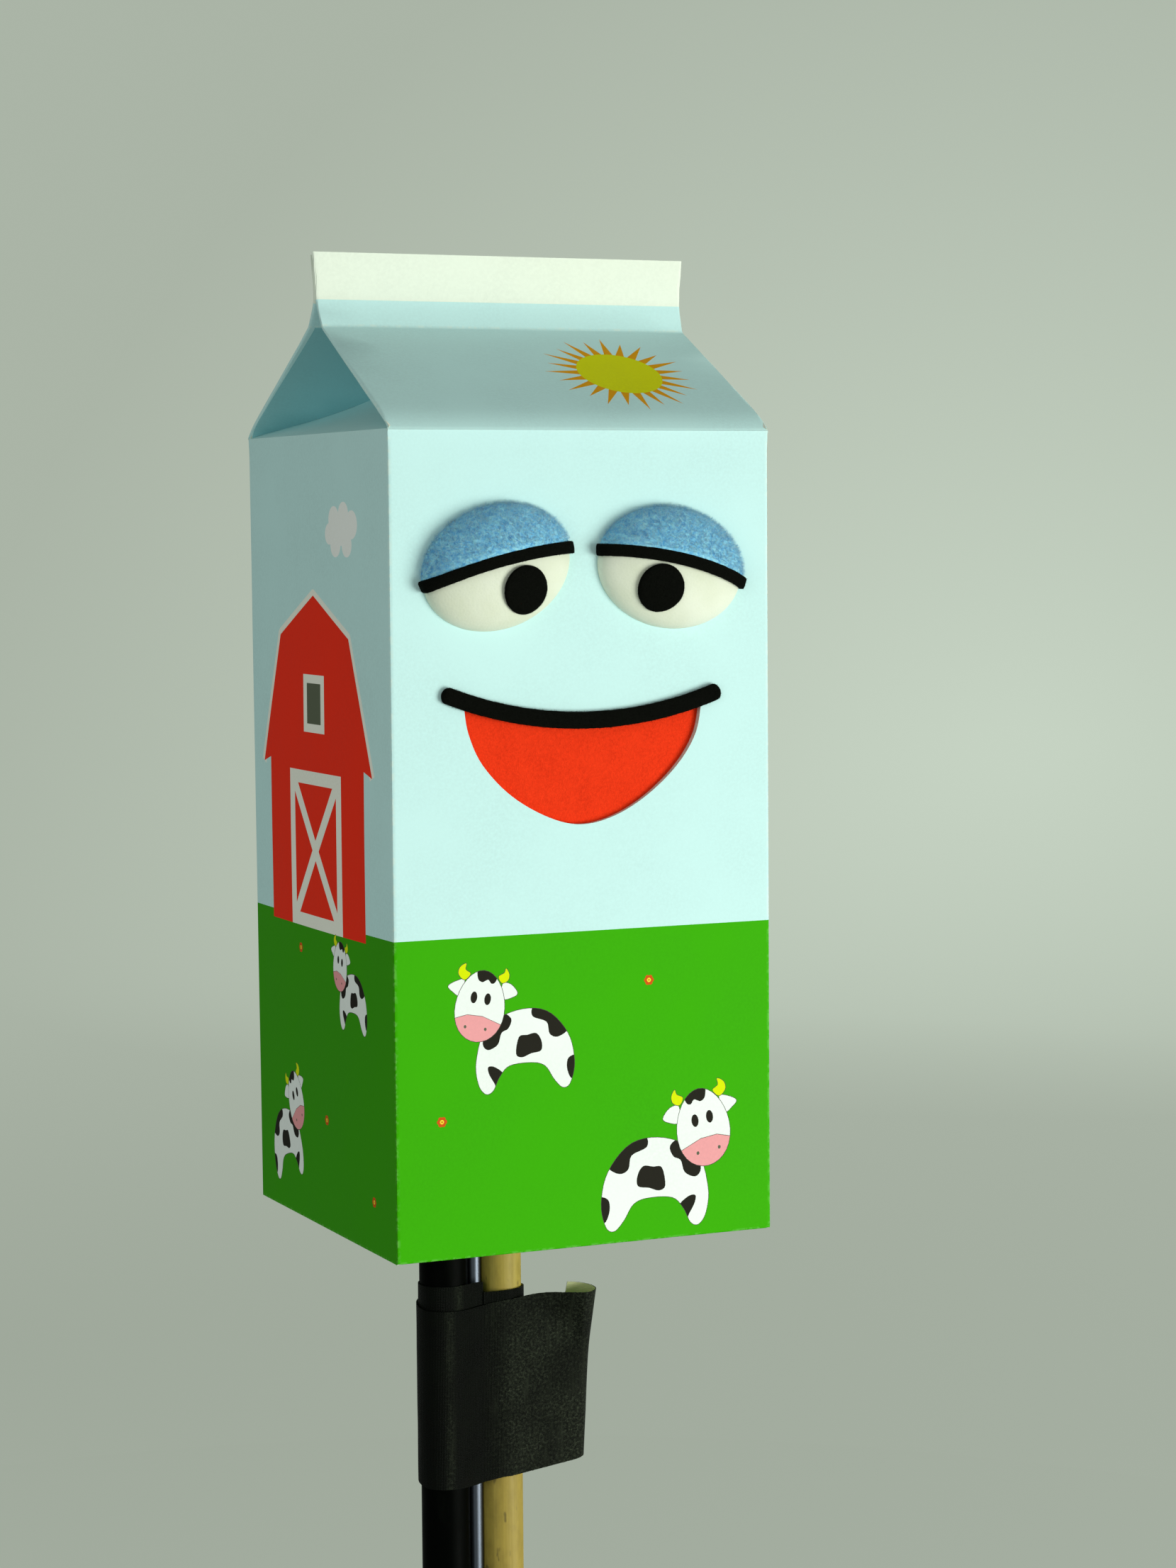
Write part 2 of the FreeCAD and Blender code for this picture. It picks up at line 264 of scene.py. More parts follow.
def gaffer_cloth():
    """Black cotton tape: a matt coat over a plain weave, with dust over the free end that is partly real and
    partly painted light, the turn round the tube kept dark as painted shade, and a painted highlight along
    one crease.

    Its UV places are millimetres, with x = 0 where the free end leaves the rods."""
    look = Look("gaffer_cloth", specular=0.07)
    place = look.place(uv=True)
    weave = look.math("MAXIMUM", look.wave(place, 0.75, 0.5, 1), look.wave(place, 0.75, 0.5, 1, "Y"))
    lightening = look.noise(place, 0.12, 5, 0.6)
    streaks = look.noise(look.place((0.5, 0.06, 1), uv=True), 1, 4)
    lint = look.noise(place, 1.3, 4, 0.75)
    along = look.node("SeparateXYZ", {0: place}).outputs["X"]
    # Painted highlight: a narrow lighter streak 18 mm before the free end leaves the rods, where light
    # catches a crease at the tube's right side.
    from_streak = look.math("ABSOLUTE", look.math("ADD", along, 18.0))
    painted_crease_highlight = look.between(from_streak, 0.3, 1.8, 0.55, 0)
    # The dust shows only over the free end, the last 8 mm before it, and that streak: partly dust from
    # holding the end, partly painted shade that keeps the turn round the tube dark. The wide noise below
    # leaves darker patches as painted shade of the free end's folds.
    dust_and_painted_light = look.math("MAXIMUM", look.between(along, -8, 0), painted_crease_highlight)
    dust_and_painted_light = look.times(dust_and_painted_light, look.between(look.noise(place, 0.07, 2), 0.38, 0.56, 0.45, 1))
    dust = look.between(streaks, 0.5, 0.75, 0, 0.35)
    for part in (look.between(lint, 0.45, 0.7, 0, 0.62), look.between(weave, 0.75, 1.0, 0, 0.12)):
        dust = look.math("MAXIMUM", dust, part)
    base = look.over(srgb(3, 4, 2), lightening, 0.35, 0.7, 1, srgb(8, 11, 6))
    base = look.mix(look.times(dust, dust_and_painted_light), base, srgb(76, 82, 66))
    look.set(Roughness=look.between(lightening, 0.3, 0.7, 0.45, 0.6))
    return look.finish(base, look.math("ADD", weave, look.times(lint, 1.2)), 0.1)


def gaffer_glue():
    """The tape's sticky side: cream rubber with the threads showing through."""
    look = Look("gaffer_glue", 0.35)
    place = look.place(uv=True)
    threads = look.wave(place, 0.75, 1.0, direction="Y")
    base = look.mix(look.noise(place, 0.2, 3), srgb(226, 224, 172), srgb(242, 240, 200))
    return look.finish(look.over(base, threads, 0.6, 1, 0.25, srgb(200, 196, 146)), threads, 0.05)


def wood(name, light, dark, grain):
    """Long grain along z, with pores and a few dark flecks."""
    look = Look(name)
    fibres = look.noise(look.place((900, 900, 14)), 1, 5, 0.6)
    bands = look.noise(look.place((grain, grain, grain * 0.06)), 1, 3)
    flecks = look.noise(look.place((420, 420, 160)), 1, 2)
    blotches = look.noise(look.place((260, 260, 110)), 1, 4, 0.65)
    base = look.over(light, bands, 0.3, 0.7, 1, dark)
    base = look.over(base, blotches, 0.42, 0.68, 0.75, shade(dark, 0.8))
    base = look.over(base, fibres, 0.5, 0.8, 0.5, shade(dark, 0.72))
    base = look.over(base, flecks, 0.64, 0.7, 0.75, shade(dark, 0.35))
    look.set(Roughness=look.between(fibres, 0.3, 0.7, 0.52, 0.7))
    return look.finish(base, fibres, 0.08)


def plywood():
    """Flat layers whose grain turns from ply to ply."""
    look = Look("plywood", 0.7)
    plies = look.wave(look.place(), 110, 0.6, 2, "Z")
    fibres = look.noise(look.place((40, 900, 900)), 1, 5, 0.6)
    base = look.over(srgb(206, 172, 116), plies, 0.35, 0.65, 1, srgb(158, 118, 70))
    return look.finish(look.over(base, fibres, 0.5, 0.8, 0.5, srgb(132, 94, 52)), fibres, 0.08)


def bright_steel():
    """Drawn steel rod: long fine scratches in a bluish polish."""
    look = Look("bright_steel")
    scratches = look.noise(look.place((2600, 2600, 12)), 1, 4, 0.6)
    tone = look.noise(look.place((60, 60, 20)), 1, 3)
    look.set(Metallic=1.0, Roughness=look.between(scratches, 0.3, 0.7, 0.34, 0.5))
    return look.finish(look.mix(tone, srgb(70, 78, 88), srgb(104, 108, 120)), scratches, 0.02, 0.5)


def black_plastic():
    """Extruded black tube: satin, with draw lines and light scuffs."""
    look = Look("black_plastic", specular=0.02)
    lines = look.noise(look.place((1600, 1600, 6)), 1, 3)
    scuffs = look.noise(look.place((160, 160, 60)), 1, 5, 0.7)
    look.set(Roughness=look.between(scuffs, 0.4, 0.7, 0.42, 0.6))
    return look.finish(look.over(srgb(1, 2, 1), scuffs, 0.55, 0.75, 1, srgb(6, 8, 5)), lines, 0.02, 0.6)


INKS = {
    "sky": (205, 240, 241),
    # A deeper blue for the gable's folded-under wings: painted shade for the pocket under the roof.
    "pocket_sky_painted_shade": (154, 208, 214),
    "band_white": (240, 246, 233),
    "grass": (62, 174, 8),
    # A darker green for the side panels' meadow: painted shade, as the sides stand in shade.
    "side_grass_painted_shade": (57, 156, 7),
    "cow_white": (244, 248, 246),
    "cow_black": (38, 36, 30),
    "outline": (74, 70, 62),
    "muzzle": (242, 164, 168),
    "horn": (222, 236, 8),
    "barn": (250, 50, 26),
    "trim": (250, 248, 238),
    "pane": (98, 104, 86),
    "cloud": (254, 253, 250),
    "sun": (226, 226, 8),
    "ray": (232, 160, 10),
    "petal": (212, 88, 26),
    "pollen": (250, 226, 60),
}


# ---------------------------------------------------------------- mesh helpers
def link(name, data):
    """An object with this data, placed in the scene."""
    made = bpy.data.objects.new(name, data)
    bpy.context.scene.collection.objects.link(made)
    return made


def new_object(name, points, faces, looks, slots=None, crisp=38):
    """A mesh piece from points in the head's millimetres; edges sharper than crisp degrees stay sharp."""
    mesh = bpy.data.meshes.new(name)
    mesh.from_pydata([metres(p) for p in points], [], faces)
    for look in looks:
        mesh.materials.append(look)
    if slots:
        mesh.polygons.foreach_set("material_index", slots)
    shell = bmesh.new()
    shell.from_mesh(mesh)
    bmesh.ops.recalc_face_normals(shell, faces=shell.faces)
    shell.to_mesh(mesh)
    shell.free()
    mesh.shade_smooth()
    mesh.set_sharp_from_angle(angle=math.radians(crisp))
    return link(name, mesh)


def on_head(slot, *pieces):
    """Pieces that ride the head; slot is not used."""
    for piece in pieces:
        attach(piece, "head")


def ring_faces(rows, count):
    """Quads between rows of points, each row a closed ring."""
    faces = []
    for k in range(rows - 1):
        for i in range(count):
            j = (i + 1) % count
            faces.append((k * count + i, k * count + j, (k + 1) * count + j, (k + 1) * count + i))
    return faces


def loft(rings):
    """Points and faces of a closed skin over rings with equal counts, with its ends filled."""
    count = len(rings[0])
    points = [p for ring in rings for p in ring]
    faces = ring_faces(len(rings), count)
    for k in (0, len(rings) - 1):
        middle = len(points)
        points.append(sum((Vector(p) for p in rings[k]), Vector()) / count)
        faces += [(k * count + i, k * count + (i + 1) % count, middle) for i in range(count)]
    return points, faces


def slab_faces(wide, tall):
    """Quads of a closed slab over two equal grids of points: both skins by turns, then the rim."""
    count = wide * tall
    faces = []
    for j in range(tall - 1):
        for i in range(wide - 1):
            a = j * wide + i
            quad = (a, a + 1, a + 1 + wide, a + wide)
            faces += [quad, tuple(k + count for k in reversed(quad))]
    rim = [*range(wide), *range(2 * wide - 1, count, wide),
           *range(count - 2, count - wide - 1, -1), *range(count - 2 * wide, 0, -wide)]
    return faces + [(a, a + count, b + count, b) for a, b in zip(rim, rim[1:] + rim[:1])]


def rounded_section(count=16, squareness=0.45):
    """(across, up) places round a rounded rectangle, both from -1 to 1."""
    section = []
    for i in range(count):
        angle = math.tau * i / count
        across, up = math.cos(angle), math.sin(angle)
        section.append(tuple(math.copysign(abs(c) ** squareness, c) for c in (across, up)))
    return section


def ruffle(piece, amount, size):
    """Move a felt piece's skin in and out a little, as loose fibres do."""
    for vertex in piece.data.vertices:
        at = vertex.co / (size * MM)
        vertex.co += vertex.normal * noise.noise(at) * amount * MM


def nap(piece, name, look, count, length, width, keep, lean=(0, 0, 0)):
    """Short fibres standing on a piece's outer skin, where keep(face centre, normal) allows them."""
    mesh = piece.data
    mesh.calc_loop_triangles()
    triangles = []
    areas = []
    for triangle in mesh.loop_triangles:
        corners = [mesh.vertices[i].co for i in triangle.vertices]
        if keep(sum(corners, Vector()) / 3, triangle.normal):
            triangles.append((corners, triangle.normal))
            areas.append(triangle.area)
    points = []
    faces = []
    for corners, normal in random.choices(triangles, areas, k=count):
        a, b = sorted((random.random(), random.random()))
        root = corners[0] * a + corners[1] * (b - a) + corners[2] * (1 - b)
        stray = Vector([random.gauss(0, 0.55) for _ in range(3)])
        along = (normal + stray + Vector(lean)).normalized()
        if along.dot(normal) < 0.15:                # it would lie down or grow inwards
            along = (along + normal * 0.6).normalized()
        tip = root + along * length * random.uniform(0.5, 1.0) * MM
        elbow = (root + tip) / 2 + Vector([random.gauss(0, 0.1) for _ in range(3)]) * length * MM
        side = along.orthogonal().normalized() * width * MM / 2
        other = along.cross(side)
        first = len(points)
        points += [root - side, root + side, root + other]
        points += [elbow - side * 0.7, elbow + side * 0.7, elbow + other * 0.7, tip]
        for i in range(first, first + 3):
            j = i + 1 if i < first + 2 else first
            faces += [(i, j, j + 3, i + 3), (i + 3, j + 3, first + 6)]
    fibres = bpy.data.meshes.new(name)
    fibres.from_pydata(points, [], faces)
    fibres.materials.append(look)
    fibres.shade_smooth()
    return link(name, fibres)


# ---------------------------------------------------------------- drawing on the blank
def ellipse(u, v, half_u, half_v, turn=0.0, count=28):
    c, s = math.cos(turn), math.sin(turn)
    outline = []
    for i in range(count):
        angle = math.tau * i / count
        p, q = half_u * math.cos(angle), half_v * math.sin(angle)
        outline.append((u + p * c - q * s, v + p * s + q * c))
    return outline


def curve(a, b, c, d, t):
    """The point at the share t of the way from b to c, on a Catmull-Rom curve through all four."""
    return 0.5 * (2 * b + (c - a) * t + (2 * a - 5 * b + 4 * c - d) * t * t
                  + (3 * b - a - 3 * c + d) * t ** 3)


def smooth_loop(points, steps=5):
    """A closed curve through a few points."""
    outline = []
    count = len(points)
    for i in range(count):
        corners = [Vector(points[(i + k) % count]) for k in (-1, 0, 1, 2)]
        outline += [tuple(curve(*corners, k / steps)) for k in range(steps)]
    return outline


def signed_area(outline):
    return sum(a[0] * b[1] - b[0] * a[1] for a, b in zip(outline, outline[1:] + outline[:1])) / 2


def grown(outline, width):
    """The outline moved outwards all round, to stand behind it as a printed line."""
    out = math.copysign(width, signed_area(outline))
    moved = []
    for i, point in enumerate(outline):
        along = Vector(outline[(i + 1) % len(outline)]) - Vector(outline[i - 1])
        along.normalize()
        moved.append((point[0] + along.y * out, point[1] - along.x * out))
    return moved


def rectangle(u_low, v_low, u_high, v_high):
    return [(u_low, v_low), (u_high, v_low), (u_high, v_high), (u_low, v_high)]


def bar(start, end, width):
    """A straight printed bar between two points."""
    start, end = Vector(start), Vector(end)
    side = (end - start).orthogonal().normalized() * width / 2
    return [tuple(p) for p in (start - side, end - side, end + side, start + side)]


LINE = 0.14             # width of the dark line round a printed animal


class Artwork:
    """What is printed on the blank, in painter's order.  A shape may be clipped by another."""

    def __init__(self):
        self.shapes = []

    def add(self, ink, outline, clip=None):
        """Add a shape, anticlockwise, and return its place in the order."""
        if signed_area(outline) < 0:
            outline = outline[::-1]
        self.shapes.append((ink, outline, clip))
        return len(self.shapes) - 1

    def lined(self, ink, outline):
        """Add a shape with a thin dark line round it, and return the shape's place."""
        self.add("outline", grown(outline, LINE))
        return self.add(ink, outline)


def cow_head(lean):
    """An egg that is wider at the muzzle, leaning."""
    outline = []
    for p, q in ellipse(0, 0, 6.5, 8.8, 0, 32):
        x = p * (1 - 0.012 * q)
        outline.append((x * math.cos(lean) - q * math.sin(lean), x * math.sin(lean) + q * math.cos(lean)))
    return outline


def cow(art, u, v, size, facing, tip=0.0):
    """A standing toy cow, drawn from the middle of its head; facing -1 looks left, 1 right.

    It tips forwards by this many degrees."""
    c, s = math.cos(math.radians(tip)), math.sin(math.radians(tip))

    def at(outline):
        return [(u - facing * (p * c + q * s) * size, v + (q * c - p * s) * size) for p, q in outline]

    body = [
        (1.6, -5.6), (9.5, -1.7), (17.6, -2.3), (23.3, -8.2), (25.0, -15.2), (23.9, -20.5), (21.9, -21.6),
        (19.6, -19.4), (17.2, -15.9), (13.6, -14.8), (7.7, -15.2), (4.9, -17.9), (3.2, -21.2), (1.2, -21.8),
        (-0.6, -19.2), (-1.1, -13.6)]
    patches = [
        [(5.5, -2.2), (8.2, -3.6), (7.4, -6.0), (5.6, -7.0), (4.6, -9.8), (2.0, -11.0), (0.6, -9.4),
         (1.6, -6.0)],
        [(14.2, -1.0), (13.9, -3.4), (17.6, -5.0), (18.4, -8.0), (20.6, -8.9), (23.4, -7.2), (23.0, -4.4),
         (18.4, -1.2)],
        [(10.2, -8.3), (12.4, -7.9), (14.8, -7.6), (16.2, -9.6), (16.1, -12.0), (13.4, -12.6), (11.0, -13.4),
         (9.4, -12.4)],
        [(2.0, -15.2), (3.9, -15.4), (6.2, -17.6), (4.4, -20.8), (3.6, -19.4), (2.2, -17.0)],
        [(23.4, -14.4), (25.6, -14.0), (25.4, -19.0), (24.0, -19.4), (23.0, -16.8)]]
    ears = [[(-4.0, 6.7), (-6.2, 6.6), (-8.3, 5.5), (-7.2, 4.1), (-5.4, 3.1)],
            [(6.0, 5.1), (8.2, 4.9), (9.9, 2.7), (8.6, 1.7), (6.0, 1.5)]]
    horns = [[(-4.0, 6.8), (-5.5, 8.2), (-5.2, 9.9), (-3.5, 10.8), (-3.7, 9.3), (-2.4, 8.2)],
             [(5.0, 7.0), (6.5, 7.8), (7.0, 8.9), (7.8, 7.4), (7.4, 5.9), (5.8, 5.4)]]
    muzzle = [(-7.5, -2.7), (-3.4, -1.9), (0.6, -2.6), (6.2, -5.4), (8.0, -10.0), (-7.0, -10.0)]
    cap = [(-0.2, 9.4), (3.2, 9.4), (4.6, 7.2), (4.0, 5.6), (3.0, 5.4), (2.2, 6.4), (0.6, 5.9), (-0.5, 7.0)]
    lean = math.radians(-8)

    trunk = art.lined("cow_white", at(smooth_loop(body)))
    for patch in patches:
        art.add("cow_black", at(smooth_loop(patch, 4)), trunk)
    for ink, pair in (("cow_white", ears), ("horn", horns)):
        for outline in pair:
            art.lined(ink, at(smooth_loop(outline, 4)))
    face = art.lined("cow_white", at(cow_head(lean)))
    art.add("outline", at([(p, q + 0.12) for p, q in muzzle]), face)
    art.add("muzzle", at(muzzle), face)
    art.add("cow_black", at(smooth_loop(cap, 4)), face)
    for p, q in ((-1.6, 2.3), (2.0, 1.6)):
        art.add("cow_black", at(ellipse(p, q, 0.87, 1.45, lean, 18)))
    for p, q in ((-4.0, -4.8), (1.3, -5.8)):
        art.add("pane", at(ellipse(p, q, 0.36, 0.42, 0, 10)))


def flower(art, u, v):
    """Six petals round a ringed middle."""
    out = 0.75
    for k in range(6):
        angle = math.tau * k / 6
        art.add("petal", ellipse(u + out * math.cos(angle), v + out * math.sin(angle), 0.62, 0.62, 0, 10))
    art.add("pollen", ellipse(u, v, 0.55, 0.55, 0, 12))
    art.add("petal", ellipse(u, v, 0.22, 0.22, 0, 8))


def cloud(art, u, v):
    """Six overlapping puffs round a middle one."""
    puffs = ((-8.4, -0.6, 3.0), (-5.2, 3.0, 3.7), (1.4, 4.2, 3.5),
             (7.0, 1.6, 4.0), (3.8, -3.4, 3.4), (-4.0, -3.2, 3.6))
    art.add("cloud", ellipse(u, v, 6.2, 3.6))
    for p, q, radius in puffs:
        art.add("cloud", ellipse(u + p, v + q, radius, radius * 0.9))


def sun(art, u, v):
    """A disc over a ring of longer and shorter pointed rays."""
    rays = 23
    foot_radius, disc_radius = 10.6, 11.2
    half_foot = math.radians(6.6)
    for k in range(rays):
        angle = math.tau * (k + 0.35) / rays
        reach = 20.3 if k % 2 else 18.6
        corners = ((foot_radius, angle - half_foot), (reach, angle), (foot_radius, angle + half_foot))
        art.add("ray", [(u + r * math.cos(a), v + r * math.sin(a)) for r, a in corners])
    art.add("sun", ellipse(u, v, disc_radius, disc_radius, 0, 56))


def barn(art, u):
    """A tall red barn with a white-edged gambrel roof, a framed window and a braced door."""
    roof = [(-39.8, 118.1), (-25, 151.9), (0, 162.4), (25, 151.9), (39.8, 118.1)]
    wall, wall_top = 34.3, 119.5
    sill = 77.0
    door_top = 117.4
    edging = 3.2

    def add(ink, outline, clip=None):
        return art.add(ink, [(u + p, q) for p, q in outline], clip)

    for start, end in zip(roof, roof[1:]):
        add("trim", bar(start, end, edging))
    for k in (2, 1, 3):
        add("trim", ellipse(*roof[k], edging / 2, edging / 2, 0, 10))
    add("barn", [(-wall, sill), (wall, sill), (wall, wall_top), *reversed(roof), (-wall, wall_top)])
    add("trim", rectangle(-7.6, 127.4, 7.6, 142.2))
    add("pane", rectangle(-5.0, 129.6, 5.0, 140.0))
    add("trim", rectangle(-18.8, sill, 18.8, door_top))
    inside = add("barn", rectangle(-15.2, sill + 3.4, 15.2, door_top - 3.4))
    for start, end in (((-18, sill), (18, door_top)), ((-18, door_top), (18, sill))):
        add("trim", bar(start, end, 3.4), inside)


# ---------------------------------------------------------------- the folded carton
class SoftPath:
    """Straight runs with softened corners, measured along the sharp line; its left is inside.

    cuts has, for each corner, how far before and after it the softening starts and ends."""

    def __init__(self, points, cuts, start=0.0):
        self.points = [Vector(p) for p in points]
        self.cuts = cuts
        self.marks = [start]
        for a, b in zip(self.points, self.points[1:]):
            self.marks.append(self.marks[-1] + (b - a).length)

    def at(self, distance, depth=0.0, soft=1.0):
        """The point at a distance along the path, moved inside by the depth."""
        for i in range(1, len(self.points) - 1):
            before, after = (cut * soft for cut in self.cuts[i - 1])
            if before and -before < distance - self.marks[i] < after:
                a = self.run(i - 1, self.marks[i] - before)
                c = self.run(i, self.marks[i] + after)
                b = self.points[i]
                t = (distance - self.marks[i] + before) / (before + after)
                point = a * (1 - t) ** 2 + b * 2 * t * (1 - t) + c * t * t
                along = (b - a) * (1 - t) + (c - b) * t
                break
        else:
            i = max(k for k in range(len(self.points) - 1) if k == 0 or self.marks[k] <= distance)
            point = self.run(i, distance)
            along = self.points[i + 1] - self.points[i]
        along = along.normalized()
        return point + Vector((-along.y, along.x)) * depth

    def run(self, i, distance):
        share = (distance - self.marks[i]) / (self.marks[i + 1] - self.marks[i])
        return self.points[i].lerp(self.points[i + 1], share)


LAP = 12.0              # glue lap inside the back
FLAP = 12.0             # how far each bottom flap passes the middle
BACK_END = 5 * HALF - 0.4
LEAN = 2.0              # how far the back's top stands out behind its foot
OPENING = 3.4           # how much further back the rear roof's crease is than the front one's
SLACK = 5.0             # how far the gable's creases hang below the roof
GIVE = 1.006            # the walls stand this much wider than their sharp creases
DRAW_IN = 0.8           # how far each gable crease comes in from the foot of the roof to its ridge
FIN_SPREAD = 1.25       # how far the fin's ends stand out again at its top
LEFT_END = -3 * HALF + CARD
FIN_HALF = 2 * CARD + 0.04

around = SoftPath(
    [(LAP - HALF, HALF - CARD), (-HALF, HALF - CARD), (-HALF, -HALF), (HALF, -HALF), (HALF, HALF),
     (-HALF, HALF)],
    [(0.6, 0.6)] * 4, LEFT_END - LAP)


def profile(lift, lean, foot):
    """A cut through one half: bottom flap, wall, roof slope and fin, as (outwards, up)."""
    reach = FLAP + HALF + SHOULDER - lift
    knee = Vector((HALF + lean, SHOULDER)).lerp(Vector((foot, RIDGE)), 0.07) + Vector((1.0, 1.0))
    return SoftPath(
        [(-FLAP, lift), (HALF, lift), (HALF + lean, SHOULDER), knee, (foot, RIDGE),
         (FIN_HALF, RIDGE + FIN_FLARE), (FIN_HALF, FIN_TOP)],
        [(0.8, 0.8), (0.3, 0.3), (4.2, 6.5), (0.8, 0.8), (3.0, 2.0)], SHOULDER - reach)


PROFILES = {0: profile(0.0, 0.0, FIN_FOOT), 2: profile(CARD, LEAN, FIN_FOOT + OPENING)}
TOP = PROFILES[0].marks[-1]
RIDGE_AT = PROFILES[0].marks[4]
BAND_AT = TOP - WHITE_BAND


def gable_fold(distance, depth, rise):
    """Across a roof slope and back under it: distance from the middle, and depth below the roof."""
    width = 2.1 * CARD * min(1.0, rise / 8)
    up_fin = max(0.0, rise - ROOF_LENGTH) / (TOP - RIDGE_AT)
    edge = HALF - DRAW_IN * min(1.0, rise / ROOF_LENGTH) + FIN_SPREAD * up_fin
    corners = [(0, 0), (edge, 0), (edge, width), (-HALF, width)]
    path = SoftPath(corners, [(width / 2, width / 2)] * 2, edge - HALF)
    under, below = path.at(distance, depth)
    if 0 < rise < CREASE:
        share = min(1.0, max(0.0, distance - edge) * CREASE / (rise * HALF))
        below += SLACK * share ** 1.6 * math.sin(math.pi * rise / CREASE)
    return under, below


def bow(u, v):
    """How far the hollow carton's walls stand out between their folds."""
    if not 0 < v < SHOULDER:
        return 0.0
    panel = round(u / SIDE)
    amount = 0.1 if panel == 0 else 0.7         # the stiffener keeps the front flat
    return amount * math.cos(math.pi * (u - panel * SIDE) / SIDE) * math.sin(math.pi * v / SHOULDER)


def ripple(u, v):
    """The card's own unevenness."""
    return 0.07 * noise.noise(Vector((u / 34, v / 34, 3.7)))


def fold(u, v, depth):
    """Where a point of the flat blank lies on the folded carton, this deep in the card."""
    x, y, z = sharp_fold(u, v, depth)
    return Vector((x * GIVE, y, z))


def sharp_fold(u, v, depth):
    """The same before the walls are widened."""
    depth -= bow(u, v) + ripple(u, v)
    panel = round(u / SIDE)
    if u < LEFT_END or v <= SHOULDER:
        x, y = around.at(u, depth, min(1.0, max(0.0, (SHOULDER - v) / 5)))
        if u < LEFT_END or panel % 2:
            return Vector((x, y + LEAN * v / SHOULDER * (y + HALF) / SIDE, v))
        out, z = PROFILES[panel].at(v, HALF - abs(y) if v > 0 else depth)
        return Vector((x, -out if panel == 0 else out, z))
    home = 0 if -SIDE <= u <= SIDE else 2
    across = (u - home * SIDE + 2 * SIDE) % (4 * SIDE) - 2 * SIDE
    under, below = gable_fold(abs(across), depth, v - SHOULDER)
    out, z = PROFILES[home].at(v, below)
    side = math.copysign(1, across) * (1 if home == 0 else -1)
    return Vector((side * under, -out if home == 0 else out, z))


def fold_gable(sign):
    """The pushed-in triangle: at each height it spans the two creases under the roof slopes."""
    def place(s, v, depth):
        rise = v - SHOULDER
        crease = min(HALF, rise * HALF / CREASE)
        under, below = gable_fold(HALF + crease, 0, rise)
        front = PROFILES[0].at(v, below)
        back = PROFILES[2].at(v, below)
        share = s / (HALF - crease) if crease < HALF - 0.01 else 0.0
        z = front.lerp(back, (share + 1) / 2).y
        y = -front.x + (front.x + back.x) * (share + 1) / 2
        sag = 0.5 * math.sin(math.pi * min(1, rise / CREASE)) * (1 - share * share)
        inset = (depth + 0.1) * max(0.0, 1 - rise / 2)      # its foot stands behind the side panel's top
        return Vector((sign * (under * GIVE - inset), y, z - sag - depth * 1.15))
    return place


def shell(art, lines_u, lines_v, place, rub_and_highlight, names):
    """Cut the artwork into triangles along its outlines and these lines, and fold it, with its thickness.

    place(u, v, depth) is where a point of the flat card goes, and the function after it how pale the point
    is marked: worn card in some places and painted highlight in others.
    names are the looks in slot order.  Returns the points, the faces, their slots and the pale marks."""
    points = []
    edges = []
    rings = []
    for _, outline, _ in art.shapes:
        rings.append(list(range(len(points), len(points) + len(outline))))
        points += [Vector(p) for p in outline]
    low = [min(p[i] for p in points) for i in (0, 1)]
    high = [max(p[i] for p in points) for i in (0, 1)]
    for u in lines_u:
        edges.append((len(points), len(points) + 1))
        points += [Vector((u, low[1])), Vector((u, high[1]))]
    for v in lines_v:
        edges.append((len(points), len(points) + 1))
        points += [Vector((low[0], v)), Vector((high[0], v))]
    flat, _, triangles, _, _, inside = delaunay_2d_cdt(points, edges, rings, 0, 1e-4)
    kept = []
    slots = []
    for corners, owners in zip(triangles, inside):
        owners = [o for o in owners if art.shapes[o][2] is None or art.shapes[o][2] in owners]
        if owners and art.shapes[max(owners)][0] != "hole":
            kept.append(tuple(corners))
            slots.append(names.index(art.shapes[max(owners)][0]))
    used = sorted({i for corners in kept for i in corners})
    order = {old: new for new, old in enumerate(used)}
    outer = [tuple(order[i] for i in corners) for corners in kept]
    count = len(used)
    skin = [place(*flat[i], 0.0) for i in used] + [place(*flat[i], CARD) for i in used]
    lightening = [rub_and_highlight(*flat[i]) for i in used] + [0.0] * count
    faces = outer + [tuple(i + count for i in reversed(corners)) for corners in outer]
    slots += [names.index("bare_card")] * len(outer)
    sides = {(a, b) for c in outer for a, b in zip(c, c[1:] + c[:1])}
    for a, b in sides:
        if (b, a) not in sides:
            faces.append((b, a, a + count, b + count))
            slots.append(names.index("cut_edge"))
    return skin, faces, slots, lightening


def near(value, lines, width):
    """1 on any of the lines, falling to 0 at this distance."""
    return max(0.0, 1 - min(abs(value - line) for line in lines) / width)


def unworn(u, v):
    return 0.0


def blank_wear_and_highlight(u, v):
    """How pale the blank is marked: worn along the edges and foot and a little at the shoulder, and most
    along the ridge, where the mark is a painted highlight on the rolled crease.
    """
    corners = near(u, (-HALF, HALF, 3 * HALF), 1.0) if v > -1 else 0.0
    foot = near(v, (0.0,), 0.8)
    # Along the ridge the pale mark is a painted highlight, where light catches the rolled crease.
    ridge = near(v, (RIDGE_AT + 0.2,), 0.5) * 1.3
    shoulder = near(v, (SHOULDER,), 1.0) * 0.15
    return max(corners, foot, ridge, shoulder)


def rods_hole():
    """The slot that the rods pass through, as (x, y) on the head's own axes."""
    gap = 1.0
    tube_low, tube_high = head_box("pole_tube")
    dowel_low, dowel_high = head_box("wooden_dowel")
    outline = []
    for low, high, start in ((tube_low, tube_high, 90), (dowel_low, dowel_high, -90)):
        middle = (low.x + high.x) / 2
        radius = (high.x - low.x) / 2 + gap
        for k in range(13):
            angle = math.radians(start + 15 * k)
            outline.append((middle + radius * math.cos(angle), radius * math.sin(angle)))
    return outline


